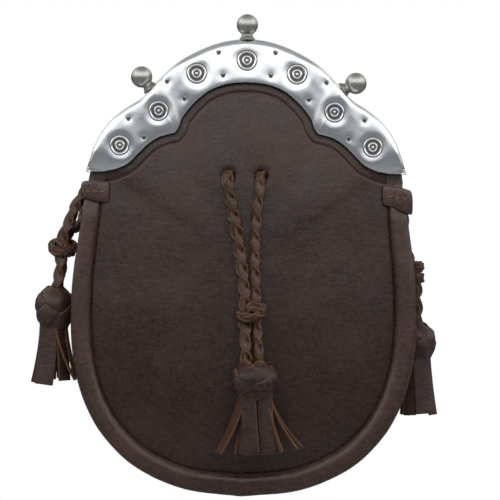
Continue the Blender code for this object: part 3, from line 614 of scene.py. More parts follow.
def layPlait(into, line, outs, shape, scale=1.0, phase=0.0):
    steps = max(4, round(lineLength(line) / shape["step"]))
    points = resample(line, steps)
    wander = math.radians(shape["wander"])
    if not isinstance(outs, Vector):
        outs = [outs(p) for p in points]
    frames = framesAlong(points, outs)
    frames = [
        (p, along, Matrix.Rotation(ruffle(p + Vector((0, 0, 40)), 16.0, wander), 3, along) @ out)
        for p, along, out in frames
    ]
    gap = lineLength(line) / steps
    turn = math.tau / (shape["period"] * scale)
    across, deep = shape["across"] * scale, shape["deep"] * scale
    for strand in range(shape["strands"]):
        stations = []
        for k, (p, along, out) in enumerate(frames):
            at = phase + turn * gap * k + math.tau * strand / shape["strands"]
            aside = out.cross(along)
            middle = p + aside * (across * math.sin(at)) + out * (deep * math.sin(2 * at))
            heading = along + aside * (across * turn * math.cos(at))
            heading = (heading + out * (2 * deep * turn * math.cos(2 * at))).normalized()
            lean = Matrix.Rotation(-math.radians(shape["bank"]) * math.sin(at), 3, along)
            side = lean @ aside
            side = (side - heading * heading.dot(side)).normalized()
            uneven = 1 + ruffle(middle + Vector((strand * 30, 0, 0)), 7.0, shape["uneven"])
            side = Matrix.Rotation(ruffle(middle, 9.0, shape["tilt"]), 3, heading) @ side
            wide, thick = shape["halfWidth"] * scale * uneven, shape["halfThick"] * scale
            stations.append((middle, side, heading.cross(side), wide, thick, 0.0))
        layStrip(into, stations)
    core, spots = tubeBlank(shape["coreSides"], len(frames) - 1, layers=("cut", "flesh"))
    for v, side, step in spots:
        v[core.verts.layers.float["flesh"]] = 1.0
        p, along, out = frames[step]
        spin = Matrix.Rotation(math.tau * side / shape["coreSides"], 3, along)
        v.co = p + spin @ out * (shape["core"] * scale)
    bmesh.ops.recalc_face_normals(core, faces=core.faces)
    pour(into, core)


# Each thong has two legs. A leg starts inside the bag, comes out through its hole, goes through the
# knot and ends in the tassel. Rows on the front are x, z and height above the leather; the others x, y, z.
legs = {
    "frontLeft": {
        "tail": "a",
        "hole": (-8.8, 7.0),
        "phase": 0.4,
        "turn": 52,
        "route": [
            (0.0, 7.4, -10.4), (-4.4, 7.4, -9.6), (-8.2, 7.4, -6.6), (-8.8, 7.4, -2.8), (-8.8, 7.4, 0.8),
            (-8.8, 5.2, 4.0), (-8.4, 1.0, 4.3), (-7.1, -6.0, 3.4), (-4.7, -17.5, 3.2), (-2.4, -30.0, 3.2),
            (-0.8, -42.0, 3.2), (0.3, -54.6, 3.9), (0.4, -61.0, 4.4), (0.5, -68.0, 4.6), (0.9, -77.0, 6.6),
            (1.6, -85.6, 8.2), (2.0, -91.0, 9.0),
        ],
    },
    "frontRight": {
        "tail": "b",
        "hole": (7.6, 7.0),
        "phase": 2.2,
        "turn": 30,
        "route": [
            (0.0, 7.4, -10.4), (4.0, 7.4, -9.6), (7.0, 7.4, -6.6), (7.6, 7.4, -2.8), (7.6, 7.4, 0.8),
            (7.6, 5.2, 4.0), (7.4, 1.0, 4.3), (6.6, -8.0, 3.4), (5.7, -19.0, 3.2), (5.4, -30.0, 3.2),
            (5.4, -42.0, 3.2), (5.9, -54.6, 3.9), (6.3, -61.0, 4.4), (6.6, -68.0, 4.6), (7.2, -77.0, 6.6),
            (7.6, -85.6, 8.2), (7.4, -91.0, 9.0),
        ],
    },
    "leftFront": {
        "tail": "a",
        "hole": (-74.6, -17.5, 2.8),
        "phase": 0.8,
        "turn": 35,
        "route": [
            (-63.8, -12.2, 2.0), (-65.2, -15.6, 2.0), (-69.0, -17.5, 2.0), (-74.0, -17.5, 1.8),
            (-78.2, -17.5, 0.6), (-81.4, -17.5, -2.4), (-84.0, -17.8, -7.0), (-86.6, -18.6, -12.5),
            (-88.4, -19.4, -17.5), (-90.4, -19.8, -21.7), (-91.6, -20.0, -28.2), (-92.2, -20.2, -34.8),
            (-92.8, -20.4, -42.0), (-94.2, -20.2, -49.0), (-95.0, -19.6, -55.0),
        ],
    },
    "leftBack": {
        "tail": "b",
        "hole": (-74.6, -7.0, 2.8),
        "phase": 2.6,
        "turn": 10,
        "route": [
            (-63.8, -12.2, 2.0), (-65.2, -8.9, 2.0), (-69.0, -7.0, 2.0), (-73.8, -7.0, 1.8),
            (-77.4, -7.2, 0.2), (-79.6, -7.8, -4.0), (-80.6, -9.0, -10.0), (-82.6, -11.0, -16.0),
            (-85.6, -12.6, -19.2), (-88.2, -13.8, -21.1), (-90.8, -14.2, -28.0), (-92.0, -14.2, -34.8),
            (-92.6, -14.2, -42.0), (-94.0, -14.2, -49.0), (-95.0, -14.6, -55.0),
        ],
    },
    "rightFront": {
        "tail": "a",
        "hole": (73.8, -17.5, 2.8),
        "phase": 1.2,
        "turn": -40,
        "route": [
            (63.8, -12.2, 2.0), (65.2, -15.6, 2.0), (69.0, -17.5, 2.0), (73.2, -17.5, 1.8),
            (76.4, -17.5, 0.2), (77.9, -17.5, -3.0), (78.6, -17.8, -7.5), (78.8, -18.0, -14.0),
            (78.4, -18.2, -21.0), (78.8, -18.0, -28.0), (82.3, -17.4, -34.5), (84.9, -17.6, -40.8),
            (85.4, -17.8, -47.3), (85.8, -17.9, -56.0), (86.3, -17.6, -65.0), (86.6, -17.0, -71.0),
        ],
    },
    "rightBack": {
        "tail": "b",
        "hole": (73.8, -7.0, 2.8),
        "phase": 3.0,
        "turn": 20,
        "route": [
            (63.8, -12.2, 2.0), (65.2, -8.9, 2.0), (69.0, -7.0, 2.0), (73.2, -7.0, 1.8),
            (76.4, -7.0, 0.2), (77.9, -7.0, -3.0), (78.6, -7.2, -7.5), (78.8, -8.2, -14.0),
            (78.4, -9.8, -21.0), (78.8, -11.2, -28.0), (82.3, -12.2, -34.4), (84.9, -12.0, -40.8),
            (85.4, -11.8, -47.3), (85.8, -11.9, -56.0), (86.3, -12.0, -65.0), (86.6, -12.6, -71.0),
        ],
    },
}


def routeOf(rows, side):
    return onFront(rows) if side == "front" else [Vector(p) for p in rows]


legPieces = []
for name, leg in legs.items():
    side = next(side for side in ("front", "left", "right") if name.startswith(side))
    line = smoothCurve(routeOf(leg["route"], side))
    bm = newStrips()
    facing = math.radians(leg["turn"])
    layPlait(bm, line, Vector((math.sin(facing), -math.cos(facing), 0)), plaitShape, phase=leg["phase"])
    nodes = (f"{side}_thong_loop", f"{side}_thong_tail_{leg['tail']}")
    piece = finishPiece(f"{name}Plait", bm, plaitFinish, nodes)
    hole = leg["hole"]
    if side == "front":
        hole = (hole[0], frontY(*hole), hole[1])
    legPieces.append((name, side, piece, line, [x * mm for x in hole]))
print("plaits laid")

# Knots: the plait wound round its own legs, from inside the knot and back into it. Rows as for the legs.
knots = {
    "front": {
        "phase": 0.6,
        "route": [
            (5.0, -61.5, 3.0), (0.2, -62.4, 3.0), (-2.8, -63.2, 4.8), (-1.6, -63.8, 7.2), (2.2, -64.1, 8.2),
            (6.0, -63.1, 7.8), (8.9, -61.4, 5.8), (9.0, -58.6, 5.8), (6.6, -57.2, 7.7), (3.4, -57.6, 8.3),
            (1.9, -59.4, 6.9), (3.2, -61.2, 5.0),
        ],
    },
    "left": {
        "phase": 2.0,
        "route": [
            (-90.8, -13.6, -28.2), (-94.6, -13.6, -26.4), (-97.6, -17.0, -28.4), (-96.0, -20.8, -32.0),
            (-91.2, -21.8, -32.4), (-87.0, -19.2, -31.2), (-86.0, -14.8, -28.6), (-89.2, -13.2, -26.4),
            (-93.0, -18.6, -25.8), (-92.4, -21.6, -28.2), (-88.6, -21.4, -31.4), (-87.2, -17.4, -32.4),
            (-90.2, -15.0, -31.0),
        ],
    },
    "right": {
        "phase": 1.0,
        "route": [
            (85.0, -14.8, -38.0), (83.4, -10.6, -37.8), (86.8, -10.2, -37.0), (88.4, -14.8, -36.8),
            (87.0, -19.6, -37.4), (83.6, -18.8, -39.6), (83.0, -14.0, -41.6), (84.0, -10.2, -43.8),
            (87.4, -10.8, -44.4), (88.4, -15.4, -44.2), (86.4, -19.4, -43.6), (83.6, -17.0, -43.0),
            (85.0, -14.8, -42.0),
        ],
    },
}

for name, knot in knots.items():
    route = routeOf(knot["route"], name)
    middle = sum(route, Vector()) / len(route)
    bm = newStrips()
    layPlait(bm, smoothCurve(route), lambda p: p - middle, knotShape, knotScale, knot["phase"])
    finishPiece(f"{name}Knot", bm, plaitFinish, (f"{name}_knot",))
print("knots tied")

# Tassels: a head woven from one wide band over a core, and the strips that hang out of it.
# A strip is its direction round the head from the front (0) to the right (90), width, length below
# the head, splay, turn of its face, the side that shows, and how far its end swings to the right.
head = {
    "profile": [(0.52, 0.0), (0.84, 0.1), (1.0, 0.34), (1.0, 0.62), (0.86, 0.9), (0.72, 1.0)],
    "coreSize": 0.93,
    "coreSides": 28,
    "rounds": 3,  # the band goes three times round and weaves over and under itself
    "lobes": 4,
    "bandSteps": 300,
    "bandHalf": 4.4,
    "bandThick": 0.68,
    "bandSink": 0.25,
    "edgeShare": 0.8,
    "weave": -0.85,
    "clear": 0.3,
}
hanging = {
    "steps": 16,
    "thick": 0.65,
    "root": 0.62,  # where a strip starts, as shares of the head's half width and of its height
    "top": 0.8,
    "curve": 1.6,
    "sway": 0.35,
    "twist": 9.0,
    "worn": 0.45,  # how much of a worn strip shows its cut side
    "endBack": 0.35,
    "endSize": 0.93,
}
tassels = {
    "front": {
        "middle": (5.3, None), "top": -85.8, "half": (10.8, 8.8), "height": 17.4, "phase": -0.44,
        "strips": [
            (-29, 7.7, 27.7, 0.5, 16, "grain", 2.2), (46, 7.8, 27.4, 0.6, -42, "grain", 1.7),
            (-60, 3.8, 27.4, 0.8, 26, "grain", 0.4), (-72, 5.2, 26.6, 12.4, 30, "flesh", 0),
            (-96, 4.4, 27.4, 3.4, 20, "flesh", 0), (62, 3.0, 26.4, 7.6, 60, "worn", 0.8),
            (84, 3.2, 25.2, 14.0, 50, "worn", 0.6), (104, 3.0, 24.6, 17.0, 50, "worn", 0.6),
            (165, 7.0, 26.5, 0.5, 0, "grain", 0), (-145, 7.0, 26.5, 0.5, 0, "grain", 0),
        ],
    },
    "left": {
        "middle": (-95.6, -17.4), "top": -50.0, "half": (9.0, 8.6), "height": 20.2, "phase": -0.93,
        "strips": [
            (-30, 9.6, 28.2, 1.6, 16, "grain", -1.6), (-66, 5.2, 27.4, 3.0, 40, "flesh", -1.4),
            (8, 2.2, 25.6, 4.0, 60, "worn", 9.6), (44, 6.6, 26.2, 1.0, -10, "grain", 0.6),
            (76, 5.0, 24.8, 3.4, 10, "grain", 2.0), (104, 6.0, 25.6, 5.0, -20, "grain", 1.4),
            (150, 7.0, 25.5, 2.0, 0, "grain", 0), (-160, 7.0, 26.0, 2.0, 0, "grain", 0),
            (-110, 7.0, 26.4, 2.0, 0, "grain", 0),
        ],
    },
    "right": {
        "middle": (86.6, -14.8), "top": -66.7, "half": (8.8, 8.6), "height": 17.4, "phase": -2.1,
        "strips": [
            (20, 8.6, 27.4, 1.6, -10, "grain", 1.4), (66, 5.0, 28.0, 2.4, -30, "grain", 1.6),
            (-16, 3.4, 28.2, 0.4, 10, "flesh", 0), (-44, 3.6, 28.4, 0.6, 30, "grain", -0.8),
            (-78, 6.0, 28.0, 1.0, 0, "flesh", -0.8), (125, 7.0, 27.4, 2.0, 0, "grain", 0),
            (180, 7.0, 27.0, 1.0, 0, "grain", 0), (-125, 6.5, 27.0, 1.0, 0, "grain", 0),
        ],
    },
}

headRadius = [(h, r) for r, h in head["profile"]]


def headSurface(centre, tassel, angle, fall, lift):
    # a point lift above the head's surface, fall below its top, angle from the front to the right
    halfX, halfY = tassel["half"]
    share = min(max(fall / tassel["height"], 0.0), 1.0)
    radius, step = readRow(headRadius, share), 0.06
    lean = (readRow(headRadius, share - step) - readRow(headRadius, share + step)) * halfX
    lean /= 2 * step * tassel["height"]
    out = Vector((math.sin(angle), -math.cos(angle), lean)).normalized()
    flat = Vector((math.sin(angle) * halfX, -math.cos(angle) * halfY, 0)) * radius
    return centre + flat - Vector((0, 0, fall)) + out * lift


def layBand(into, tassel, centre):
    meanRadius = sum(tassel["half"]) / 2
    swing = tassel["height"] / 2 - head["bandHalf"] * head["edgeShare"]
    lobes = head["lobes"] / head["rounds"]

    def bandSpot(step, u, high):
        angle = math.pi + head["rounds"] * math.tau * step / head["bandSteps"]
        at = angle * lobes + tassel["phase"]
        slope = swing * lobes * math.cos(at) / meanRadius
        long = math.hypot(1, slope)
        fall = tassel["height"] / 2 + swing * math.sin(at) + u / long
        lift = head["weave"] * math.sin(2 * at) + high - head["bandSink"]
        return headSurface(centre, tassel, angle - u * slope / long / meanRadius, fall, lift)

    station = (None, None, None, head["bandHalf"], head["bandThick"], 0.0)
    layStrip(into, [station] * (head["bandSteps"] + 1), place=bandSpot)


def layHanging(into, tassel, centre, k, direction, width, length, splay, faceTurn, shows, swung):
    angle, face = math.radians(direction), math.radians(direction + faceTurn)
    out = Vector((math.sin(angle), -math.cos(angle), 0))
    across = Vector((math.cos(face), math.sin(face), 0))
    halfX, halfY = tassel["half"]
    start = Vector((out.x * halfX, out.y * halfY, 0)) * hanging["root"]
    fall, long = tassel["height"] * hanging["top"], length + tassel["height"] * (1 - hanging["top"])
    last = hanging["steps"]
    line = []
    for j in range(last + 1):
        share = j / last
        p = centre + start + (out * splay + Vector((swung, 0, 0))) * share ** hanging["curve"]
        sway = math.sin(share * 2.6 + k * 1.7) * hanging["sway"] * share
        line.append(p + across * sway - Vector((0, 0, fall + long * share)))
    shorter = line[-1] + (line[-2] - line[-1]).normalized() * hanging["endBack"]
    stations = []
    for j, p in enumerate(line[:-1] + [shorter, line[-1]]):
        along = (line[min(j + 1, last)] - line[max(min(j, last) - 1, 0)]).normalized()
        side = (across - along * along.dot(across)).normalized()
        up = side.cross(along).normalized()
        up = up if up.dot(out) > 0 else -up
        turn = math.radians(hanging["twist"] * math.sin(k * 2.3)) * j / (last + 1)
        twist = Matrix.Rotation(turn, 3, along)
        size, bare = 1.0, hanging["worn"] if shows == "worn" else 0.0
        if j > last:  # the cut end
            size, bare = hanging["endSize"], 1.0
        stations.append((p, twist @ side, twist @ up, width / 2 * size, hanging["thick"] * size, bare))
    layStrip(into, stations, flip=shows != "grain")


for name, tassel in tassels.items():
    x, y = tassel["middle"]
    halfX, halfY = tassel["half"]
    height, top = tassel["height"], tassel["top"]
    if y is None:  # it rests on the front leather
        y = frontY(x, top - height / 2) - halfY - head["clear"]
    centre = Vector((x, y, top))
    bm = newStrips()
    profile = [(r * head["coreSize"], -h * height) for r, h in head["profile"]]
    core = turned([(0, 0)] + profile + [(0, -height)], head["coreSides"])
    bmesh.ops.scale(core, vec=(halfX, halfY, 1), verts=core.verts)
    bmesh.ops.translate(core, verts=core.verts, vec=centre)
    bmesh.ops.recalc_face_normals(core, faces=core.faces)
    pour(bm, core)
    layBand(bm, tassel, centre)
    for k, row in enumerate(tassel["strips"]):
        layHanging(bm, tassel, centre, k, *row)
    nodes = (f"{name}_tassel",)
    finishPiece(f"{name}Tassel", bm, stripFinish, nodes)
print("tassels hung")

for name, side, piece, line, hole in legPieces:
    [p * mm for p in resample(line, 60)]
    print(name, "is", round(lineLength(line), 1), "mm long")

# The cantle: half of its rim and of its scalloped edge, tip to top, as outer x, z and inner x, z.
cantle = {
    "rows": [
        (80.0, 8.5, 77.6, 8.4), (79.2, 11.2, 68.9, 8.6), (77.6, 16.0, 63.4, 10.2), (75.6, 21.4, 58.5, 12.8),
        (72.0, 28.3, 53.8, 17.5), (66.4, 35.2, 49.0, 22.2), (59.6, 40.6, 43.9, 25.6),
        (52.6, 45.0, 39.3, 27.1), (47.2, 50.4, 35.6, 28.0), (44.2, 54.0, 33.6, 31.0),
        (41.4, 57.0, 32.0, 35.6), (37.0, 61.2, 28.5, 40.4), (31.6, 65.2, 25.0, 44.1),
        (24.6, 69.2, 20.0, 48.3), (17.0, 72.4, 14.0, 51.3), (8.6, 74.6, 7.2, 53.0), (0.0, 75.4, 0.0, 53.4),
    ],
    "cusp": 8,
    "steps": 11,  # sections for each row
    "wall": 1.8,
    "seat": 0.5,
    "edge": 0.5,
    "crown": 1.6,
    "crownWidth": 18.0,
    "leatherX": 69.0,  # the tips stand out past the leather, which ends here
    # Share of the flat, and of the crown on the lobes and on the arch. The pairs after it are for
    # the lobes and the arch as well.
    "swell": [
        (0.12, 0.83, 0.73), (0.24, 0.94, 0.68), (0.4, 0.99, 0.58), (0.6, 1.0, 0.43), (0.8, 1.0, 0.25),
    ],
    "edgeRise": (0.6, 0.72),
    "brow": (0.86, 0.04),
    "shoulder": (2.9, 4.9),
    "archCrown": 1.15,
    "archFrom": (41.0, 49.0),  # height of the inner edge where the lobes turn into the arch
    "rim": 13.0,
    "faceY": -24.0,  # only the face is worked, in front of this
    "rings": [(63.0, 21.6), (43.8, 38.9), (25.0, 57.8), (0.0, 64.5)],
    "pits": [(58.8, 34.9), (50.9, 25.4), (39.7, 53.6), (30.9, 44.9), (14.2, 68.4), (11.9, 56.9)],
    # relief of a set of rings, from its middle out: radius, height
    "relief": [
        (0.0, 0.42), (0.55, 0.3), (0.95, -0.22), (1.35, -0.26), (1.75, 0.2), (1.98, 0.3), (2.2, 0.2),
        (2.6, -0.2), (3.6, -0.2), (4.05, 0.2), (4.35, 0.34), (4.65, 0.2), (4.95, -0.24), (5.35, 0.0),
    ],
    "ringReach": (5.35, 5.8),  # radius of the relief, and of the finer mesh under it
    "dish": (0.42, 6.5),  # depth and radius of the hollow round each set of rings
    "pit": (1.25, 0.95),  # radius and depth, in a hollow of its own depth and radius
    "pitDish": (0.22, 2.4),
    "pitReach": 2.2,
    "uneven": (9.0, 0.07),
}


def cornered(points, corners, steps):
    # a smooth line with sharp corners at the given points
    found = []
    for a, b in zip([0] + corners, corners + [len(points) - 1]):
        found += smoothCurve(points[a : b + 1], steps)[: None if b == len(points) - 1 else -1]
    return found


def cantleSection(outer, inner):
    width = (outer - inner).length
    way = (outer - inner).normalized()
    inside = min(1.0, cantle["leatherX"] / max(abs(inner.x), 1.0))
    seat = frontY(inner.x * inside, inner.y) - cantle["seat"]
    face = seat - cantle["wall"]
    arch = easeStep(*cantle["archFrom"], inner.y)

    def blend(pair):
        return pair[0] + (pair[1] - pair[0]) * arch

    crown = cantle["crown"] * min(1.0, width / cantle["crownWidth"]) * blend((1, cantle["archCrown"]))
    shoulder = min(blend(cantle["shoulder"]), width * 0.6)
    wall = min(cantle["wall"], width * 0.35)
    flat = width - shoulder
    brow = face - crown * blend(cantle["brow"])
    lip = min(cantle["edge"], flat * 0.3)
    low = face - crown * blend(cantle["edgeRise"])
    rise = [(lip, low)]
    for share, *heights in cantle["swell"]:
        rise.append((flat * share, face - crown * blend(heights)))
    for k in range(4):
        turn = math.pi / 2 * k / 3
        rise.append((flat + shoulder * math.sin(turn), brow + shoulder * (1 - math.cos(turn))))
    top = smoothCurve(rise, 5)
    under = [
        (width, face + cantle["rim"]),
        (width - wall, face + cantle["rim"]),
        (width - wall, brow + shoulder + wall / 4),
        (flat + (shoulder - wall) * 0.7, brow + wall + (shoulder - wall) * 0.3),
        (flat, brow + wall),
        (flat / 2, face + wall - crown),
        (0.0, seat),
        (0.0, low + lip),
        (lip * 0.3, low + lip * 0.3),
    ]
    rows = [(p.x, p.y) for p in top] + under
    return [Vector((inner.x + way.x * w, y, inner.y + way.y * w)) for w, y in rows]


def bothSides(places):
    return [(side * x, z) for x, z in places for side in ((-1, 1) if x else (1,))]


rows = cantle["rows"] + [(-a, b, -c, d) for a, b, c, d in cantle["rows"][-2::-1]]
outerEdge = smoothCurve([row[:2] for row in rows], cantle["steps"])
cusps = [cantle["cusp"], len(rows) - 1 - cantle["cusp"]]
innerEdge = cornered([row[2:] for row in rows], cusps, cantle["steps"])
sections = [cantleSection(a, b) for a, b in zip(outerEdge, innerEdge)]
bm, spots = tubeBlank(len(sections[0]), len(sections) - 1)
for v, side, step in spots:
    v.co = sections[step][side]
ringPlaces, pitPlaces = bothSides(cantle["rings"]), bothSides(cantle["pits"])


def nearWork(p):
    if p.y > cantle["faceY"]:
        return False
    if any(math.hypot(p.x - x, p.z - z) < cantle["ringReach"][1] for x, z in ringPlaces):
        return True
    return any(math.hypot(p.x - x, p.z - z) < cantle["pitReach"] for x, z in pitPlaces)


refine(bm, nearWork, 2)
bmesh.ops.recalc_face_normals(bm, faces=bm.faces)
bm.normal_update()
recess = bm.verts.layers.float.new("recess")
(pitRadius, pitDeep), (dishDeep, dishRadius) = cantle["pit"], cantle["pitDish"]
for v in bm.verts:
    if v.normal.y > -0.5:
        continue
    lift, low = ruffle(v.co, *cantle["uneven"]), 0.0
    for x, z in ringPlaces:
        far = math.hypot(v.co.x - x, v.co.z - z)
        lift -= cantle["dish"][0] * math.exp(-((far / cantle["dish"][1]) ** 6))
        if far < cantle["ringReach"][0]:
            carved = readRow(cantle["relief"], far)
            lift += carved
            low = max(low, easeStep(0.05, -0.2, carved))
    for x, z in pitPlaces:
        far = math.hypot(v.co.x - x, v.co.z - z)
        lift -= pitDeep * max(0.0, 1 - (far / pitRadius) ** 2)
        lift -= dishDeep * math.exp(-((far / dishRadius) ** 2))
        low = max(low, easeStep(1.0, 0.5, far))
    v.co += v.normal * lift
    v[recess] = low
finishPiece("castCantle", bm, cantleFinish, ("cantle",))
print("cantle cast")

# Ball finials on the rim: x and z of the foot, and lean to the right in degrees.
finials = {
    "left": (-48.2, 50.4, -38.0),
    "top": (0.0, 75.4, 0.0),
    "right": (48.2, 50.4, 62.0),
}
finialShape = {
    "y": -27.5,
    "ball": 5.35,
    "ballHeight": 6.9,
    "ballSteps": 24,
    "stem": [(4.1, -0.8), (3.9, -0.2), (3.4, 0.5), (2.9, 1.3), (2.7, 1.9)],
    "sides": 48,
    "lift": 0.3,
    "rough": (3.0, 1.2),  # heights between which the foot turns rough
    "uneven": (1.6, 0.07),
    "grime": 0.7,
}
ball, stem = finialShape["ball"], finialShape["stem"]
start = math.asin(stem[-1][0] * 0.98 / ball)
ballProfile = [(0.0, stem[0][1])] + stem
for k in range(finialShape["ballSteps"]):
    turn = start + (math.pi - start) * k / finialShape["ballSteps"]
    ballProfile.append((ball * math.sin(turn), finialShape["ballHeight"] - ball * math.cos(turn)))
ballProfile.append((0.0, finialShape["ballHeight"] + ball))
for name, (x, z, lean) in finials.items():
    bm = turned(ballProfile, finialShape["sides"])
    recess = bm.verts.layers.float.new("recess")
    for v in bm.verts:
        rough = easeStep(*finialShape["rough"], v.co.z)
        v.co *= 1 + ruffle(v.co + Vector((x, 0, z)), *finialShape["uneven"]) * rough
        v[recess] = finialShape["grime"] * rough * (0.7 + noise.noise(v.co / 0.8))
    way = Vector((math.sin(math.radians(lean)), 0, math.cos(math.radians(lean))))
    bmesh.ops.rotate(bm, verts=bm.verts, cent=(0, 0, 0), matrix=turnTo(way))
    foot = Vector((x, finialShape["y"], z)) + way * finialShape["lift"]
    bmesh.ops.translate(bm, verts=bm.verts, vec=foot)
    finishPiece(f"{name}Ball", bm, finialFinish, (f"finial_{name}",))
print("finials turned")

# The front leather: a spoke spun into a disc, then laid on the dome.
front = {
    "rings": 70,
    "crowd": 1.35,
    "holes": [legs["frontLeft"]["hole"], legs["frontRight"]["hole"]],
    "holeRadius": 2.5,
    "lip": 1.0,
    "uneven": [(22.0, 0.22), (7.0, 0.05)],
}

edgePoints = resample(innerEdge, len(innerEdge) * 4 - 1)
edgeTree = KDTree(len(edgePoints))
for i, p in enumerate(edgePoints):
    edgeTree.insert((p.x, 0, p.y), i)
edgeTree.balance()


def fromCantle(p):
    return edgeTree.find((p.x, 0, p.z))[2]


bm, spots = disc(front["rings"], bag["spokes"], lambda r: 1 - (1 - r) ** front["crowd"])
for v, spoke, share in spots:
    p = seam[spoke]
    z = bag["centreZ"] + (p.y - bag["centreZ"]) * share
    v.co = Vector((p.x * share, domeY(share, z), z))
lineAt, swellWidth = tooledLine["away"], tooledLine["swellWidth"]
refine(bm, lambda p: abs(fromCantle(p) - lineAt) < swellWidth and p.z < tooledLine["topZ"], 2)
awayLayer = bm.verts.layers.float.new("edgeDistance")
for v in bm.verts:
    away = fromCantle(v.co)
    v[awayLayer] = away
    off = (away - lineAt) / tooledLine["half"]
    lift = tooledLine["swell"] * easeStep(lineAt, lineAt - swellWidth, away)
    lift -= tooledLine["deep"] * max(0.0, 1 - off * off)
    v.co.y -= lift + sum(ruffle(v.co, size, amount) for size, amount in front["uneven"])
for x, z in front["holes"]:
    punch(bm, (x, frontY(x, z), z), (0, 1, 0), front["holeRadius"], front["lip"])
finishSheet("frontLeather", bm, frontFinish, "front_panel", bag["wall"], (0, -1, 0))
print("front leather laid")

# The padded roll round the edge: radius and how far its middle lies behind the seam, by height.
# Above the keepers it is pressed flat, level with the front, and goes in under the cantle.
roll = {
    "radius": [(-142.0, 6.0), (-55.0, 5.7), (-9.0, 4.9), (0.0, 4.3), (8.0, 3.4), (14.0, 3.0)],
    "lean": 0.24,  # wider on the right, narrower on the left
    "halfWide": 76.0,
    "sink": [(-14.0, 1.1), (8.0, 4.0), (14.0, 4.6)],
    "gap": -1.0,
    "topZ": 10.4,
    "square": (0.075, 0.05),  # how much squarer than round, and the more where it is flat
    "flatHalf": (6.4, 2.9),  # outwards and in depth
    "flatGap": -4.2,
    "flatSink": 2.9,
    "stations": 260,
    "sides": 28,
    "wrinkle": 0.06,
    "uneven": (14.0, 0.12),
    "fill": 0.9,
}


def rollLine(stations):
    # middle, half size outwards, half size in depth, and how flat it is
    half = [p for p in smoothCurve(bag["seam"]) if p.y <= roll["topZ"]]
    run = resample([hung(Vector((-p.x, p.y))) for p in half[:0:-1]] + [hung(p) for p in half], stations)
    found = []
    for i, p in enumerate(run):
        along = run[min(i + 1, stations)] - run[max(i - 1, 0)]
        radius, flat = readRow(roll["radius"], p.y), easeStep(*bag["flatFrom"], p.y)
        radius += roll["lean"] * p.x / roll["halfWide"] * easeStep(*bag["driftFrom"], p.y)
        halfOut = radius + (roll["flatHalf"][0] - radius) * flat
        halfDeep = radius + (roll["flatHalf"][1] - radius) * flat
        sink = readRow(roll["sink"], p.y)
        sink += (roll["flatSink"] - sink) * flat
        gap = roll["gap"] + (roll["flatGap"] - roll["gap"]) * flat
        out = p + Vector((along.y, -along.x)).normalized() * (halfOut + gap)
        found.append((Vector((out.x, sink - seamDepth(p.y), out.y)), halfOut, halfDeep, flat))
    return found


rollPath = rollLine(roll["stations"])
bm, spots = tubeBlank(roll["sides"], roll["stations"])
for v, side, step in spots:
    middle, halfOut, halfDeep, flat = rollPath[step]
    ahead = rollPath[min(step + 1, roll["stations"])][0] - rollPath[max(step - 1, 0)][0]
    outward = Vector((ahead.z, 0, -ahead.x)).normalized()
    angle = math.tau * side / roll["sides"]
    way = outward * math.cos(angle) * halfOut + Vector((0, -1, 0)) * math.sin(angle) * halfDeep
    square = 1 - (roll["square"][0] + roll["square"][1] * flat) * math.cos(4 * angle)
    # soft wrinkles across it
    lift = ruffle(Vector((step * 0.35, angle * 2.0, 3.0)), 1.0, roll["wrinkle"])
    lift += ruffle(middle + way, *roll["uneven"]) - 0.1
    v.co = middle + way * square + way.normalized() * lift
rollPiece = finishPiece("paddedRoll", bm, rollFinish, ("edge_roll",))
print("edge roll stuffed")


def rollAt(z):
    # middle and radius of the roll's right side at height z
    rows = sorted((p.z, p.x, p.y, halfOut) for p, halfOut, halfDeep, flat in rollPath if p.x > 0)
    return tuple(readRow([(row[0], row[k]) for row in rows], z) for k in (1, 2, 3))


def addStitches(into, places, size):
    # places are (middle, along, out); size is long, wide, high
    for first in range(0, len(places), 12):
        few = bmesh.new()
        for middle, along, out in places[first : first + 12]:
            matrix = seated(middle, along, out, [side / 2 for side in size])
            bmesh.ops.create_uvsphere(few, u_segments=8, v_segments=5, radius=1, matrix=matrix)
        pour(into, few)


# Keeper straps: height of the middle, drop for each mm outwards, and how much wider it gets.
keepers = {
    "left": {"side": -1, "height": -1.4, "drop": 0.0, "width": 10.8, "spread": 0.84, "gap": 0.2},
    "right": {"side": 1, "height": -2.0, "drop": 0.16, "width": 9.8, "spread": 1.27, "gap": 1.0},
}
keeperShape = {
    "thick": 1.7,
    "thinEnd": 0.35,
    "innerX": 68.3,
    "dip": (78.0, 69.5),  # between these the strap comes down to the leather
    "wrap": (-110, 92),  # degrees round the roll
    "stations": 44,
    "uneven": [(5.0, 0.3), (7.0, 0.4)],  # in depth and in height
    "endSize": 0.8,
    "leanIn": 0.9,
    "sewn": (2, 36),  # stations between which the stitches run
    "stitch": (2.8, 0.45, 0.4),
    "stitchPitch": 4.1,
}
# Section of a soft-edged strap: across from -1 to 1, and height from 0 to strapTop.
strapTop = 1.08
strapSection = [(-1, 0.3), (-0.985, 0.72), (-0.9, 0.95), (-0.6, 1.05), (0, strapTop), (0.6, 1.05)]
strapSection += [(0.9, 0.95), (0.985, 0.72), (1, 0.3), (0.95, 0.02), (0, 0), (-0.95, 0.02)]


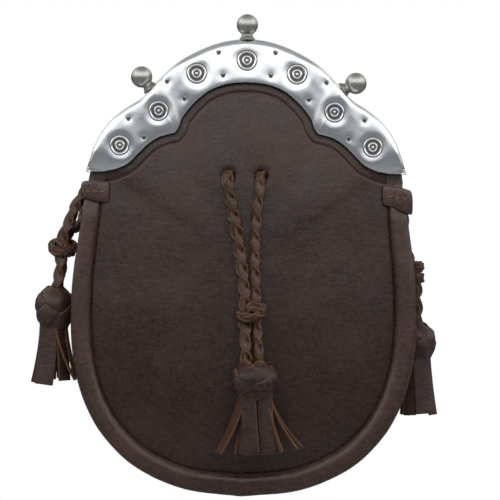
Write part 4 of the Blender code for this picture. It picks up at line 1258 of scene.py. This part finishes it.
def keeperLine(keeper, z, out):
    # the strap keeps the width that the roll has at the strap's lower edge
    cx, cy, radius = rollAt(keeper["height"] - keeper["width"] / 2)
    out += keeper["gap"]
    reach, inner = radius + out, keeperShape["innerX"]
    leather = frontY(inner, z)
    front = min(leather, cy - radius + 0.4) - out
    found = [Vector((inner + ahead, front, z)) for ahead in (0, 0.5, 1.5, 3.0, 4.5)]
    start, end = keeperShape["wrap"]
    around = keeperShape["stations"] - len(found)
    for k in range(around + 1):
        angle = math.radians(start + (end - start) * k / around)
        found.append(Vector((cx + reach * math.cos(angle), cy + reach * math.sin(angle), z)))
    for p in found:
        p.z -= keeper["drop"] * (p.x - inner)
        if p.y < cy:
            dip = max(0.0, leather - out + keeper["gap"] - 0.1 - front)
            p.y += dip * easeStep(*keeperShape["dip"], p.x)
    return [Vector((keeper["side"] * p.x, p.y, p.z)) for p in found]


def keeperRuffle(p):
    (depthSize, depth), (heightSize, height) = keeperShape["uneven"]
    return Vector((0, -ruffle(p, depthSize, depth), ruffle(p, heightSize, height)))


thread = bmesh.new()
for name, keeper in keepers.items():
    side, half, thick = keeper["side"], keeper["width"] / 2, keeperShape["thick"]
    lines = [keeperLine(keeper, keeper["height"] + u * half, h * thick) for u, h in strapSection]
    middle = keeperLine(keeper, keeper["height"], thick * 0.5)
    bm, spots = tubeBlank(len(strapSection), keeperShape["stations"])
    for v, edge, step in spots:
        u, h = strapSection[edge]
        v.co = lines[edge][step]
        share = step / keeperShape["stations"]
        # the width changes at the lower edge, and the inner end is pared thin
        wider = 1 + (keeper["spread"] - 1) * easeStep(0.0, 0.45, share)
        v.co.z = middle[step].z + half - (middle[step].z + half - v.co.z) * wider
        v.co.y += keeperShape["thinEnd"] * thick * h * easeStep(4, 0, step)
        if step == 0:
            v.co = middle[0].lerp(v.co, keeperShape["endSize"])
        # the top corner leans in where the strap goes round the roll
        v.co.x -= side * keeperShape["leanIn"] * easeStep(0.25, 0.5, share) * max(0.0, u) ** 3
        v.co.y += keeperRuffle(v.co).y
        v.co.z += keeperRuffle(v.co).z
    finishPiece(f"{name}Keeper", bm, strapFinish, (f"keeper_{name}",))
    middle = keeperLine(keeper, keeper["height"], thick * 1.07)[slice(*keeperShape["sewn"])]
    run = resample(middle, round(lineLength(middle) / keeperShape["stitchPitch"]) * 2)
    places = []
    for k in range(1, len(run) - 1, 2):
        along = (run[k + 1] - run[k - 1]).normalized()
        out = along.cross(Vector((0, 0, 1))).normalized()
        if out.y > 0.2 or out.x * side < -0.5:
            out = -out
        places.append((run[k] + keeperRuffle(run[k]) + Vector((0, 0.05, 0)), along, out))
    addStitches(thread, places, keeperShape["stitch"])
print("keepers wrapped")

# The gusset: the wall round the bag, with two holes on each side for the thongs.
gusset = {
    "bulge": [(0.0, 0.0), (0.34, 2.4), (1.0, 0.9)],
    "steps": 20,
    "wall": 2.0,
    "holes": [-17.5, -7.0],
    "holeX": 72.0,
    "holeZ": 2.8,
    "holeRadius": 3.1,
    "lip": 0.6,
    "uneven": [(15.0, 0.5), (6.0, 0.15)],
    "stitch": (2.4, 0.5, 0.45),
    "stitchPitch": 3.4,
    "stitchShare": 0.86,
}
bulgeLine = smoothCurve([(a, b, 0) for a, b in gusset["bulge"]], 10)
bulgeRows = [(p.x, p.y) for p in bulgeLine]


def gussetSpot(spoke, share):
    p, n = seam[spoke % len(seam)], seamOut[spoke % len(seam)]
    near = -(seamDepth(p.y) - bag["edgeDrop"] - bag["wall"] - 0.6)
    back = -(bag["wall"] + 0.3)
    out = p + n * readRow(bulgeRows, share)
    return Vector((out.x, near + (back - near) * share, out.y))


bm, spots = tubeBlank(bag["spokes"], gusset["steps"], caps=False)
for v, spoke, step in spots:
    share = step / gusset["steps"]
    place = gussetSpot(spoke, share)
    n = seamOut[spoke]
    sag = sum(ruffle(place, size, amount) for size, amount in gusset["uneven"])
    v.co = place + Vector((n.x, 0, n.y)) * (sag * math.sin(math.pi * share))
for side in (-1, 1):
    for y in gusset["holes"]:
        centre = (side * gusset["holeX"], y, gusset["holeZ"])
        punch(bm, centre, (-side, 0, 0), gusset["holeRadius"], gusset["lip"])


def faceHeight(face):
    return face.calc_center_median().z


finishSheet("gussetLeather", bm, sideFinish, "gusset", gusset["wall"], (0, 0, -1), rank=faceHeight)


def ringStitches(spotAt, pitch, size, lift=0.12):
    # stitches along a closed line read from spotAt(spoke) as (place, out)
    spots = [spotAt(k) for k in range(len(seam))]
    line = [place for place, out in spots] + [spots[0][0]]
    count = round(lineLength(line) / pitch) * 2
    run = resample(line, count)
    places = []
    for k in range(1, count, 2):
        along = (run[(k + 1) % count] - run[k - 1]).normalized()
        out = spots[round(k / count * len(seam)) % len(seam)][1]
        places.append((run[k] + out * lift, along, out))
    addStitches(thread, places, size)


def backGusset(spoke):
    out = Vector((seamOut[spoke].x, 0, seamOut[spoke].y))
    return gussetSpot(spoke, gusset["stitchShare"]) + out * 0.1, out


ringStitches(backGusset, gusset["stitchPitch"], gusset["stitch"])
print("gusset sewn")

# The back: panel with its mouth, flap, stud and the loops for the waist strap.
back = {
    "margin": 0.9,
    "wall": 1.8,
    "steps": 40,
    "y": -0.2,
    "uneven": (18.0, 0.18),
    "edge": (0.02, 0.5, 0.6),  # width and depth of the worn edges, and the mouth's share of it
    "stitchIn": 3.2,
    "mouthHalf": 36.0,
    "mouthZ": (2.0, 30.0),
    "mouthCorner": 5.0,
    "flap": [
        (0.0, 46.0), (22.0, 46.0), (34.0, 45.0), (40.0, 38.0), (42.0, 22.0), (41.0, 6.0), (35.0, -9.0),
        (22.0, -20.0), (8.0, -25.0), (0.0, -25.6),
    ],
    "flapCentreZ": 14.0,
    "flapY": 2.5,
    "flapWall": 1.7,
    "flapCrowd": 1.3,
    "flapUneven": (16.0, 0.15),
    "flapEdge": (0.03, 0.5),
    "flapGroove": (0.9, 0.012, 0.35),  # share of the way out, width and depth
    "flapStitch": 0.94,
    "studZ": -15.0,
    "studY": 2.7,
    "studSides": 40,
    "stud": [
        (0.0, 0.0), (5.4, 0.0), (5.5, 0.5), (5.2, 1.2), (4.4, 1.75), (3.4, 2.0), (3.0, 1.8), (2.6, 2.1),
        (1.4, 2.35), (0.0, 2.4),
    ],
    "stitch": (2.4, 0.5, 0.45),
    "stitchPitch": 3.4,
    "loopX": 54.0,
    "loopWidth": 14.0,
    "loopThick": 2.0,
    "loopPath": [(30.0, 0.3), (21.0, 0.3), (17.5, 3.2), (14.0, 6.3), (11.0, 6.3)],
    "loopSteps": 60,
    "loopStitches": [-28.0, -22.5, 22.5, 28.0],
    "loopStitchPitch": 3.3,
}


def roundedBox(halfWidth, low, high, corner, count, cornerSteps=8):
    corners = [(halfWidth - corner, low + corner, -90), (halfWidth - corner, high - corner, 0)]
    corners += [(corner - halfWidth, high - corner, 90), (corner - halfWidth, low + corner, 180)]
    found = [Vector((0, low))]
    for x, z, start in corners:
        for k in range(cornerSteps + 1):
            turn = math.radians(start + 90 * k / cornerSteps)
            found.append(Vector((x + corner * math.cos(turn), z + corner * math.sin(turn))))
    return resample(found + found[:1], count)[:-1]


mouth = roundedBox(back["mouthHalf"], *back["mouthZ"], back["mouthCorner"], bag["spokes"])
backRim = [p + n * back["margin"] for p, n in zip(seam, seamOut)]
edgeWidth, edgeDeep, mouthShare = back["edge"]
bm, spots = tubeBlank(bag["spokes"], back["steps"], caps=False)
for v, spoke, step in spots:
    share = step / back["steps"]
    p = mouth[spoke].lerp(backRim[spoke], share)
    edge = math.exp(-(1 - share) / edgeWidth) + mouthShare * math.exp(-share / edgeWidth)
    uneven = ruffle(Vector((p.x, 0, p.y)), *back["uneven"])
    v.co = Vector((p.x, back["y"] + uneven - edgeDeep * edge, p.y))
finishSheet("backLeather", bm, sideFinish, "back_panel", back["wall"], (0, 1, 0))


def backStitch(spoke):
    p = seam[spoke] - seamOut[spoke] * back["stitchIn"]
    return Vector((p.x, -0.1, p.y)), Vector((0, 1, 0))


ringStitches(backStitch, back["stitchPitch"], back["stitch"])

flapHalf = resample(smoothCurve(back["flap"]), bag["spokes"] // 2)[::-1]
flapLine = flapHalf + [Vector((-p.x, p.y)) for p in flapHalf[-2:0:-1]]
bm, spots = disc(back["steps"], bag["spokes"], lambda r: 1 - (1 - r) ** back["flapCrowd"])
grooveAt, grooveWidth, grooveDeep = back["flapGroove"]
edgeWidth, edgeDeep = back["flapEdge"]
for v, spoke, share in spots:
    p = flapLine[spoke]
    x, z = p.x * share, back["flapCentreZ"] + (p.y - back["flapCentreZ"]) * share
    low = edgeDeep * math.exp(-(1 - share) / edgeWidth)
    low += grooveDeep * math.exp(-(((share - grooveAt) / grooveWidth) ** 2))
    v.co = Vector((x, back["flapY"] + ruffle(Vector((x, 0, z)), *back["flapUneven"]) - low, z))
finishSheet("flapLeather", bm, strapFinish, "back_flap", back["flapWall"], (0, 1, 0))


def flapStitch(spoke):
    p = Vector((flapLine[spoke].x, flapLine[spoke].y - back["flapCentreZ"])) * back["flapStitch"]
    return Vector((p.x, back["flapY"], p.y + back["flapCentreZ"])), Vector((0, 1, 0))


ringStitches(flapStitch, back["stitchPitch"], back["stitch"])

bm = turned(back["stud"], back["studSides"])
bm.verts.layers.float.new("recess")
bmesh.ops.rotate(bm, verts=bm.verts, cent=(0, 0, 0), matrix=turnTo((0, 1, 0)))
bmesh.ops.translate(bm, verts=bm.verts, vec=(0, back["studY"], back["studZ"]))
finishPiece("flapStud", bm, finialFinish, ("flap_stud",))

loopHalf = [Vector((0, y, z)) for z, y in back["loopPath"]]
loopLine = smoothCurve(loopHalf + [Vector((0, p.y, -p.z)) for p in loopHalf[::-1]], 6)
last = back["loopSteps"]
loopLine = resample(loopLine, last)
for name, side in (("left", -1), ("right", 1)):
    bm, spots = tubeBlank(len(strapSection), last)
    for v, edge, step in spots:
        u, h = strapSection[edge]
        along = (loopLine[min(step + 1, last)] - loopLine[max(step - 1, 0)]).normalized()
        out = Vector((0, -along.z, along.y))
        end = 0.96 if step in (0, last) else 1.0
        v.co = loopLine[step] + out * (h * back["loopThick"] / strapTop)
        v.co.x = side * back["loopX"] + u * back["loopWidth"] / 2 * end
    finishPiece(f"{name}StrapLoop", bm, strapFinish, (f"strap_loop_{name}",))
    places = []
    for z in back["loopStitches"]:
        for k in range(4):
            x = side * back["loopX"] + (k - 1.5) * back["loopStitchPitch"]
            places.append((Vector((x, 2.35, z)), Vector((1, 0, 0)), Vector((0, 1, 0))))
    addStitches(thread, places, back["stitch"])
finishPiece("stitches", thread, threadFinish)
print("back made")

# The room: a pale floor, soft boxes, and a sky for the metal to reflect.
room = {
    "floorZ": -300,
    "floorSize": 3.0,
    "floor": [(0.78, 0.78, 0.78, 1), (0.82, 0.82, 0.82, 1)],
    "mirroredFloor": (0.25, 0.255, 0.26, 1),
    # Height in degrees and brightness: grey-blue ahead, bright half way up, dimmer overhead.
    "sky": [
        (-90, 0.34), (-40, 0.4), (-20, 0.34), (-8, 0.2), (0, 0.2), (5, 0.42), (11, 1.2), (18, 1.75),
        (38, 1.75), (50, 0.9), (60, 0.45), (90, 0.4),
    ],
    "skyPower": 2.0,
    "skyOnLeather": 0.4,  # the soft boxes light the leather
    "lampAim": (0, -0.03, -0.03),
}
bm = bmesh.new()
bmesh.ops.create_grid(bm, x_segments=1, y_segments=1, size=room["floorSize"] / 2)
bmesh.ops.translate(bm, verts=bm.verts, vec=(0, 0, room["floorZ"] * mm))
mesh = bpy.data.meshes.new("floor")
bm.to_mesh(mesh)
bm.free()
floor = bpy.data.objects.new("floor", mesh)
bpy.context.scene.collection.objects.link(floor)
floorFinish, tree, shader, place = newMaterial("paleFloor", 0.8)
pale = mixColour(tree, noiseOf(tree, place, 40.0, 3.0), *room["floor"])
mirrored = addNode(tree, "LightPath").outputs["Is Glossy Ray"]  # the metal sees a dim floor
feed(tree, shader, {"Base Color": mixColour(tree, mirrored, pale, room["mirroredFloor"])})
mesh.materials.append(floorFinish)

world = bpy.data.worlds.new("studio")
world.use_nodes = True
bpy.context.scene.world = world
tree = world.node_tree
tree.nodes.clear()
way = addNode(tree, "TexCoord").outputs["Generated"]
way = addNode(tree, "SeparateXYZ", {"Vector": way}).outputs


def skyColour(level):
    cool = max(0.0, 1 - level)
    return (level * (1 - 0.04 * cool) / 2, level / 2, level * (1 + 0.03 * cool) / 2, 1)


stops = [(0.5 + 0.5 * math.sin(math.radians(up)), skyColour(level)) for up, level in room["sky"]]
sky = ramp(tree, calc(tree, "MULTIPLY_ADD", way["Z"], 0.5, 0.5), stops)
behind = ramp(tree, way["Y"], [(0.05, 1.0), (0.75, 0.3)])
sky = mixColour(tree, 1.0, sky, behind, "MULTIPLY")
paths = addNode(tree, "LightPath").outputs
dimmer = calc(tree, "MULTIPLY_ADD", paths["Is Diffuse Ray"], room["skyOnLeather"] - 1, 1.0)
sky = mixColour(tree, 1.0, sky, dimmer, "MULTIPLY")
lit = addNode(tree, "Background", {"Color": sky, "Strength": room["skyPower"]})
seen = addNode(tree, "Background", {"Color": (1, 1, 1, 1), "Strength": 1.0})
both = addNode(tree, "MixShader", {0: paths["Is Camera Ray"], 1: lit.outputs[0], 2: seen.outputs[0]})
addNode(tree, "OutputWorld", {"Surface": both.outputs[0]})

# Soft boxes: place, size and power. The metal sees only the sky.
lamps = {
    "overhead": {"place": (0.0, -0.33, 0.33), "size": (0.5, 0.2), "power": 2.5},
    "leftBox": {"place": (-1.0, -0.3, 0.3), "size": (0.5, 0.8), "power": 2.0},
    "rightBox": {"place": (1.0, -0.3, 0.3), "size": (0.5, 0.8), "power": 2.0},
    "backBox": {"place": (0.0, 1.1, 0.5), "size": (0.8, 0.5), "power": 6.0},
}
for name, lamp in lamps.items():
    light = bpy.data.lights.new(name, "AREA")
    light.shape = "RECTANGLE"
    light.size, light.size_y = lamp["size"]
    light.energy = lamp["power"]
    holder = bpy.data.objects.new(name, light)
    holder.location = lamp["place"]
    holder.visible_glossy = False
    aim = Vector(room["lampAim"]) - holder.location
    holder.rotation_euler = aim.to_track_quat("-Z", "Y").to_euler()
    bpy.context.scene.collection.objects.link(holder)
print("room lit")
